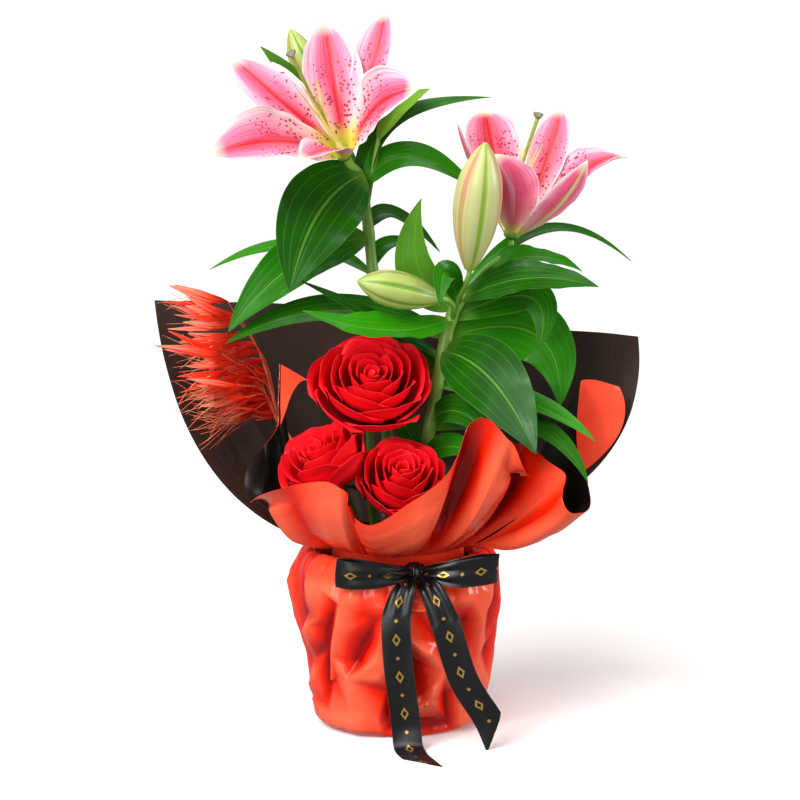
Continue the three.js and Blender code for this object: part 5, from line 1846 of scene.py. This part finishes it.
@dataclass(frozen=True)
class Planting:
    """The pot with its wet foam, and every plant that stands in it, each at its own place."""

    lilies: tuple[Lily, ...] = (
        Lily(
            "lily_left", (-35.5, 9, 396), (-0.42, -0.45, 0.78),
            inner=(
                ((-43, -8, 446), (-53, 48, 493), 21, (0, -0.9, 0.4), (0.5, 0.5, 0.6)),
                ((-19, -46, 444), (14, -56, 446), 23, (-0.05, -0.8, 0.62), (0.5, -0.3, 0.6)),
                ((-76, -56, 424), (-130, -52, 400), 23, (0.1, -0.72, 0.66), (0.3, 0.7, 0.6)),
            ),
            outer=(
                ((-13, 1, 472), (-9, 34, 497), 14, (-0.35, -0.9, 0.2), (0.2, 0.2, 0.6)),
                ((-80, -12, 440), (-119, 34, 466), 18, (0.2, -0.9, 0.4), (0.2, 0.2, 0.6)),
                ((-43, -48, 413), (-64, -85, 400), 15, (0.1, -0.3, 0.95), (-0.2, 0.3, 0.5)),
            ),
            stigma=(-71, -40, 468), seed=31, open_wide=True,
        ),
        Lily(
            "lily_right", (79, 8, 340), (0.12, -0.06, 0.99),
            inner=(
                ((64, 29, 415), (61, 42, 428), 20, (0.15, -0.95, 0.2), (0.3, 0.3, 0.7)),
                ((83, -38, 378), (65, -32, 401), 19, (0.1, 0.9, 0.4), (-0.3, -0.4, 0.8)),
                ((131, 2, 403), (160, 20, 396), 17, (-0.4, -0.45, 0.8), (0.3, 0.4, 0.7)),
            ),
            outer=(
                ((113, 23, 407), (113, 42, 430), 14, (-0.3, -0.9, 0.2), (0.2, 0.2, 0.6)),
                ((112, -48, 363), (127, -48, 398), 14, (-0.4, 0.7, 0.6), (-0.3, -0.3, 0.7)),
                ((43, -5, 400), (41, 12, 422), 13, (0.9, 0, 0.4), (-0.2, -0.2, 0.7)),
            ),
            stigma=(96, -8, 426), seed=32, open_wide=False,
        ),
    )
    buds: tuple[tuple[str, Bud, bool], ...] = (
        ("lily_left_bud", Bud((-52.7, 50, 431.6), (-76, 54, 484), 10), False),
        ("lily_right_bud_upright", Bud((49, -25.5, 323), (58, -60, 410), 15.8), True),
        ("lily_right_bud_side", Bud((29, -21.8, 301.9), (-27, -42, 316), 12.5), False),
    )
    left_stem: LilyStem = LilyStem(
        "lily_left_stem",
        ((0, 12, 62), (-1, 14, 97), (-7, 20, 189), (-13, 24, 274), (-18, 24, 318), (-22, 22, 356), (-27, 17, 384)),
        (4.4, 3.2),
        tuple(Blade(*leaf) for leaf in (
            ((-24, 13, 385), (-61, -24, 372), (-73, -44, 309), 28, (0.15, -0.8, 0.45), 0.14, 1.5),
            ((-21, 20, 340), (-74, -4, 338), (-116, -30, 280), 19, (-0.1, -0.85, 0.5), 0.2, 1.0),
            ((-18, 25, 313), (-70, 58, 350), (-134, 45, 315), 8, (0, -0.5, 0.85)),
            ((-21, 24, 346), (-9, 42, 372), (30, 48, 327), 9, (0.1, -0.5, 0.85), 0.3),
            ((-18, 25, 318), (-14, 40, 344), (21, 50, 330), 7, (0.1, -0.5, 0.85), 0.3),
            ((-25, 19, 376), (2, 14, 420), (57, 16, 372), 12, (0.2, -0.7, 0.7), 0.25),
            ((-24, 20, 370), (-30, 24, 434), (64, 12, 438), 9, (0, -0.6, 0.8), 0.25),
            ((-14, 17, 408), (0, 12, 432), (22, 6, 444), 9, (-0.7, -0.6, 0.4), 0.35),
            ((-33, 33, 398), (-62, 34, 442), (-95, 12, 473), 9, (-0.2, -0.85, 0.45), 0.15),
        )),
        (((-22, 22, 362), (-18, 20, 385), (-13, 17, 410)), ((-25, 20, 374), (-32, 32, 396), (-43, 43, 414))),
        (7, 8),
    )
    right_stem: LilyStem = LilyStem(
        "lily_right_stem",
        ((2, -2, 62), (5, -1, 98), (11, -2, 143), (21, -4, 202), (30, -6, 256), (37, -8, 287), (45, -6, 304)),
        (5.0, 3.7),
        tuple(Blade(*leaf) for leaf in (
            ((38, -7, 293), (0, -4, 316), (16, -16, 370), 15, (-0.45, -0.8, 0.35), 0.35),
            ((42, -13, 297), (30, -46, 344), (28, -56, 300), 9, (0.1, -0.9, 0.3), 0.3),
            ((45, -3, 302), (84, 0, 346), (128, 4, 318), 10, (0, -0.55, 0.83), 0.28, 2),
            ((43, -8, 299), (84, -34, 328), (136, -40, 312), 14, (0, -0.72, 0.7), 0.2, 2),
            ((43.5, -4.5, 300), (100, 36, 378), (165, 34, 322), 7, (0.05, -0.4, 0.9), 0.3),
            ((37, -10, 286), (-5, -48, 274), (-64, -58, 298), 14, (0, -0.55, 0.83), 0.22, 2),
            ((32, -4, 272), (-47, 6, 312), (-118, -32, 272), 14, (0, -0.6, 0.8), 0.22),
            ((27, -3, 240), (2, 10, 282), (-34, 22, 273), 11, (0, -0.7, 0.7), 0.25),
            ((31, -10, 264), (66, -50, 264), (92, -86, 205), 24, (-0.2, -0.68, 0.45), 0.14, 1.2),
            ((37, -6, 286), (116, -12, 328), (96, -24, 266), 15, (0.3, -0.8, 0.5), 0.2),
            ((33, -3, 272), (118, 10, 300), (113, -6, 224), 23, (0.1, -0.9, 0.35), 0.16, 1.2),
            ((24, -7, 216), (42, -28, 236), (62, -44, 208), 12, (0.1, -0.85, 0.5), 0.22),
            ((19, -6, 190), (36, -26, 206), (56, -44, 196), 10, (0.1, -0.85, 0.5), 0.22),
            ((28, -5, 238), (92, -20, 240), (134, -58, 209), 10, (0.2, -0.6, 0.75), 0.3),
            ((22, -3, 208), (104, -30, 236), (127, -88, 186), 11, (0.35, -0.7, 0.6), 0.22),
            ((18, -4, 184), (-4, 6, 236), (-28, 22, 226), 9, (0, -0.75, 0.65), 0.25),
            ((31, -8, 258), (-10, -18, 288), (-68, -32, 316), 5, (0.3, -0.8, 0.5), 0.3),
        )),
        (((37, -8, 286), (41, -15, 300)), ((37, -9, 284), (38.5, -15, 295)), ((44, -6, 302), (58, -2, 318))),
        (0,),
    )
    roses: tuple[Rose, ...] = (
        Rose(
            "rose_large", (-19, -15, 227), (0.04, -0.62, 0.78),
            (
                Ring(3, 4.6, 24, 35, 2.5, 1.6, 0.2), Ring(3, 9, 23, 35.5, 5, 1.35, 0.4),
                Ring(4, 14, 18, 36, 7.5, 1.1, 0.7), Ring(5, 20, 14, 36, 9.8, 0.95, 1.2),
                Ring(5, 26.5, 10, 35, 10.4, 0.92, 2.0), Ring(5, 33, 6, 32, 10.4, 0.88, 3.0),
                Ring(6, 38, 3, 26, 9.6, 0.72, 3.6)
            ),
            ((0, 6), (5, 11.5), (14, 11.5), (24, 6), (30, 3.5), (34, 2)), ((-14, 0, 62), (-15, -2, 98), (-18, -1, 150)),
            15, 3
        ),
        Rose(
            "rose_left", (-41, -39, 175), (-0.42, -0.36, 0.83),
            (
                Ring(3, 4.2, 23, 36, 2.2, 1.6, 0.2), Ring(3, 8.5, 21, 37, 4.5, 1.35, 0.5),
                Ring(4, 13, 16, 37, 7, 1.1, 0.9), Ring(4, 18.5, 11, 36.5, 8.6, 1.1, 1.6),
                Ring(5, 23.5, 7, 34, 8.8, 0.92, 2.4), Ring(5, 28, 3, 29, 8.8, 0.86, 3.2)
            ),
            ((0, 5), (5, 9.8), (13, 9.8), (22, 5.4), (28, 3.2), (32, 2)),
            ((-20, -14, 62), (-22, -16, 98), (-27, -22, 133)), 12, 5
        ),
        Rose(
            "rose_right", (0, -36, 164), (0.1, -0.66, 0.75),
            (
                Ring(3, 4.2, 24, 38, 2.2, 1.6, 0.2), Ring(4, 8, 22, 38.5, 4.5, 1.25, 0.4),
                Ring(5, 12.5, 17, 38, 7, 1.0, 0.7), Ring(5, 17.5, 12, 37, 8.6, 0.95, 1.2),
                Ring(5, 22.5, 8, 34.5, 8.8, 0.92, 2.0), Ring(5, 27.5, 4, 29.5, 8.8, 0.86, 3.0)
            ),
            ((0, 5), (5, 9.8), (13, 9.8), (22, 5.4), (28, 3.2), (32, 2)), ((4, -18, 62), (4, -19, 98), (2, -20, 130)),
            12, 9
        )
    )
    oats: OatBunch = OatBunch(
        ((-24, 8, 62), (-26, 11, 98), (-31, 19, 134), (-56, 36, 162), (-86, 42, 204)),
        (
            (-118, 6, 298), (-112, 0, 286), (-122, -4, 262), (-118, -8, 250), (-112, -10, 240), (-106, 0, 230),
            (-101, 14, 219), (-106, 16, 274), (-112, 14, 256), (-104, 12, 243)
        ),
        5, 21
    )

    def dress_holder(self, nodes: dict[str, Piece], colours: Palette) -> None:
        """Gives the pot and the foam, which keep their solids, their finishes.

        Args:
            nodes: the part's nodes by name.
            colours: the finishes.
        """
        for name, finish in (("pot", colours.pot), ("foam", colours.foam)):
            for slot in nodes[name].material_slots:
                slot.material = finish
            LOG.info("%s: dressed", name)

    def build(self, nodes: dict[str, Piece], colours: Palette) -> None:
        """Makes every plant.

        Args:
            nodes: the part's nodes by name.
            colours: the finishes.
        """
        self.dress_holder(nodes, colours)
        for lily in self.lilies:
            lily.build(colours)
        for name, bud, ripe in self.buds:
            make(name, [bud.skin()], [colours.bud_pale if ripe else colours.bud_green])
        left, right = self.lilies
        hanging, upright, side = (bud for _, bud, _ in self.buds)
        stem = self.left_stem
        twigs = [[np.asarray(p, float) for p in stem.twigs[0]], carried(stem.twigs[1], hanging)]
        stem.build(colours, twigs, carried(stem.path, left))
        stem = self.right_stem
        stem.build(colours, [carried(*pair) for pair in zip(stem.twigs, (upright, side, right))], stem.path)
        for rose in self.roses:
            rose.build(colours)
        self.oats.build(colours)


# ---- The studio ----


@dataclass(frozen=True)
class Studio:
    """A pale floor, soft lights and the camera at the photograph's viewing angle. Lengths in metres."""

    target: Point = (0.0014, 0.0, 0.228)
    eye: Point = (0.0014, -1.6791, 0.4939)
    lens: float = 109.3
    lights: tuple[tuple[str, Point, float, float], ...] = (
        ("key", (-1.2, -1.4, 1.6), 0.45, 17.0), ("fill", (1.5, -1.2, 0.9), 0.6, 4.0),
        ("top", (0.2, 0.9, 1.9), 1.2, 9.0), ("edge", (1.5, -0.2, 0.4), 0.5, 12.0),
        ("front", (-0.9, -1.6, 0.25), 0.9, 15.0)
    )
    sun: Point = (-0.8, -1.0, 1.35)  # the way that the soft main light comes from
    sun_strength: float = 3.2
    sun_spread: float = 55.0  # degrees
    daylight: float = 0.4
    film_width: float = 36.0  # of the camera's sensor, in millimetres as its lens is
    floor: tuple[float, float, float] = (0.5, 2.0, 4.0)  # the radii of the flat floor's rings
    sweep: float = 3.0  # the radius of the curve that the floor ends in
    sides: int = 72

    def build(self) -> None:
        """Sets up the floor, which curves up far out all round, the world, the lights and the camera."""
        scene = bpy.context.scene
        scene.view_settings.view_transform = "Standard"
        mesh = bpy.data.meshes.new("floor")
        angle = np.linspace(0, 1.35, 16)
        reach = np.concatenate([self.floor, self.floor[-1] + self.sweep * np.sin(angle[1:])])
        level = np.concatenate([np.zeros(len(self.floor)), self.sweep * (1 - np.cos(angle[1:]))])
        turn = 2 * np.pi * np.arange(self.sides) / self.sides
        flat = [reach[:, None] * np.cos(turn), reach[:, None] * np.sin(turn)]
        points = np.stack([*flat, np.broadcast_to(level[:, None], flat[0].shape)], -1)
        quads, _ = lattice(len(reach), self.sides, wrap=True)
        mesh.from_pydata(points.reshape(-1, 3).tolist(), [], [*quads[:, ::-1].tolist(), list(range(self.sides))])
        mesh.polygons.foreach_set("use_smooth", np.ones(len(mesh.polygons), bool))
        floor = bpy.data.objects.new("floor", mesh)
        scene.collection.objects.link(floor)
        r = Recipe("pale_floor_paint")
        cloud = r.add("TexNoise", (r.add("TexCoord").outputs["Object"], 3))
        paint = r.add("ValToRGB", (cloud,), [(0.3, "#F4F3F2"), (0.7, "#F7F6F5")])
        mesh.materials.append(r.surface({"Base Color": paint, "Roughness": 0.8}))
        # No light comes up from the floor, as in a studio with a far white wall.
        floor.visible_diffuse = floor.visible_glossy = False
        world = bpy.data.worlds.new("studio")
        world.use_nodes = True
        back = world.node_tree.nodes["Background"]
        back.inputs["Color"].default_value = (1.0, 1.0, 1.0, 1.0)
        back.inputs["Strength"].default_value = self.daylight
        scene.world = world
        sun = bpy.data.lights.new("sun", "SUN")
        sun.energy, sun.angle = self.sun_strength, math.radians(self.sun_spread)
        self.aim(bpy.data.objects.new("sun", sun), tuple(np.add(self.target, self.sun)))
        for name, place, size, power in self.lights:
            light = bpy.data.lights.new(name, "AREA")
            light.size, light.energy = size, power
            self.aim(bpy.data.objects.new(name, light), place)
        camera = bpy.data.cameras.new("camera")
        camera.lens, camera.sensor_width, camera.clip_end = self.lens, self.film_width, 100.0
        scene.camera = self.aim(bpy.data.objects.new("camera", camera), self.eye)

    def aim(self, thing: Piece, place: Point) -> Piece:
        """Links a light or the camera at a place and turns it to face the target: its back looks away from it.

        Args:
            thing: the light or the camera.
            place: where it stands, in metres.

        Returns:
            The same object.
        """
        bpy.context.scene.collection.objects.link(thing)
        thing.location = place
        back = unit(np.subtract(place, self.target))
        side = unit(np.cross((0, 0, 1), back))
        thing.rotation_euler = Matrix(np.stack([side, np.cross(back, side), back], 1).tolist()).to_euler()
        return thing


def main() -> None:
    """Builds the bouquet's pieces in order."""
    logging.basicConfig(level=logging.INFO, format="%(message)s")
    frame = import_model()
    Studio().build()
    colours = Palette()
    Wrap().build(colours)
    Ribbon().build(colours)
    Planting().build(frame["nodes"], colours)


if __name__ == "__main__":
    main()
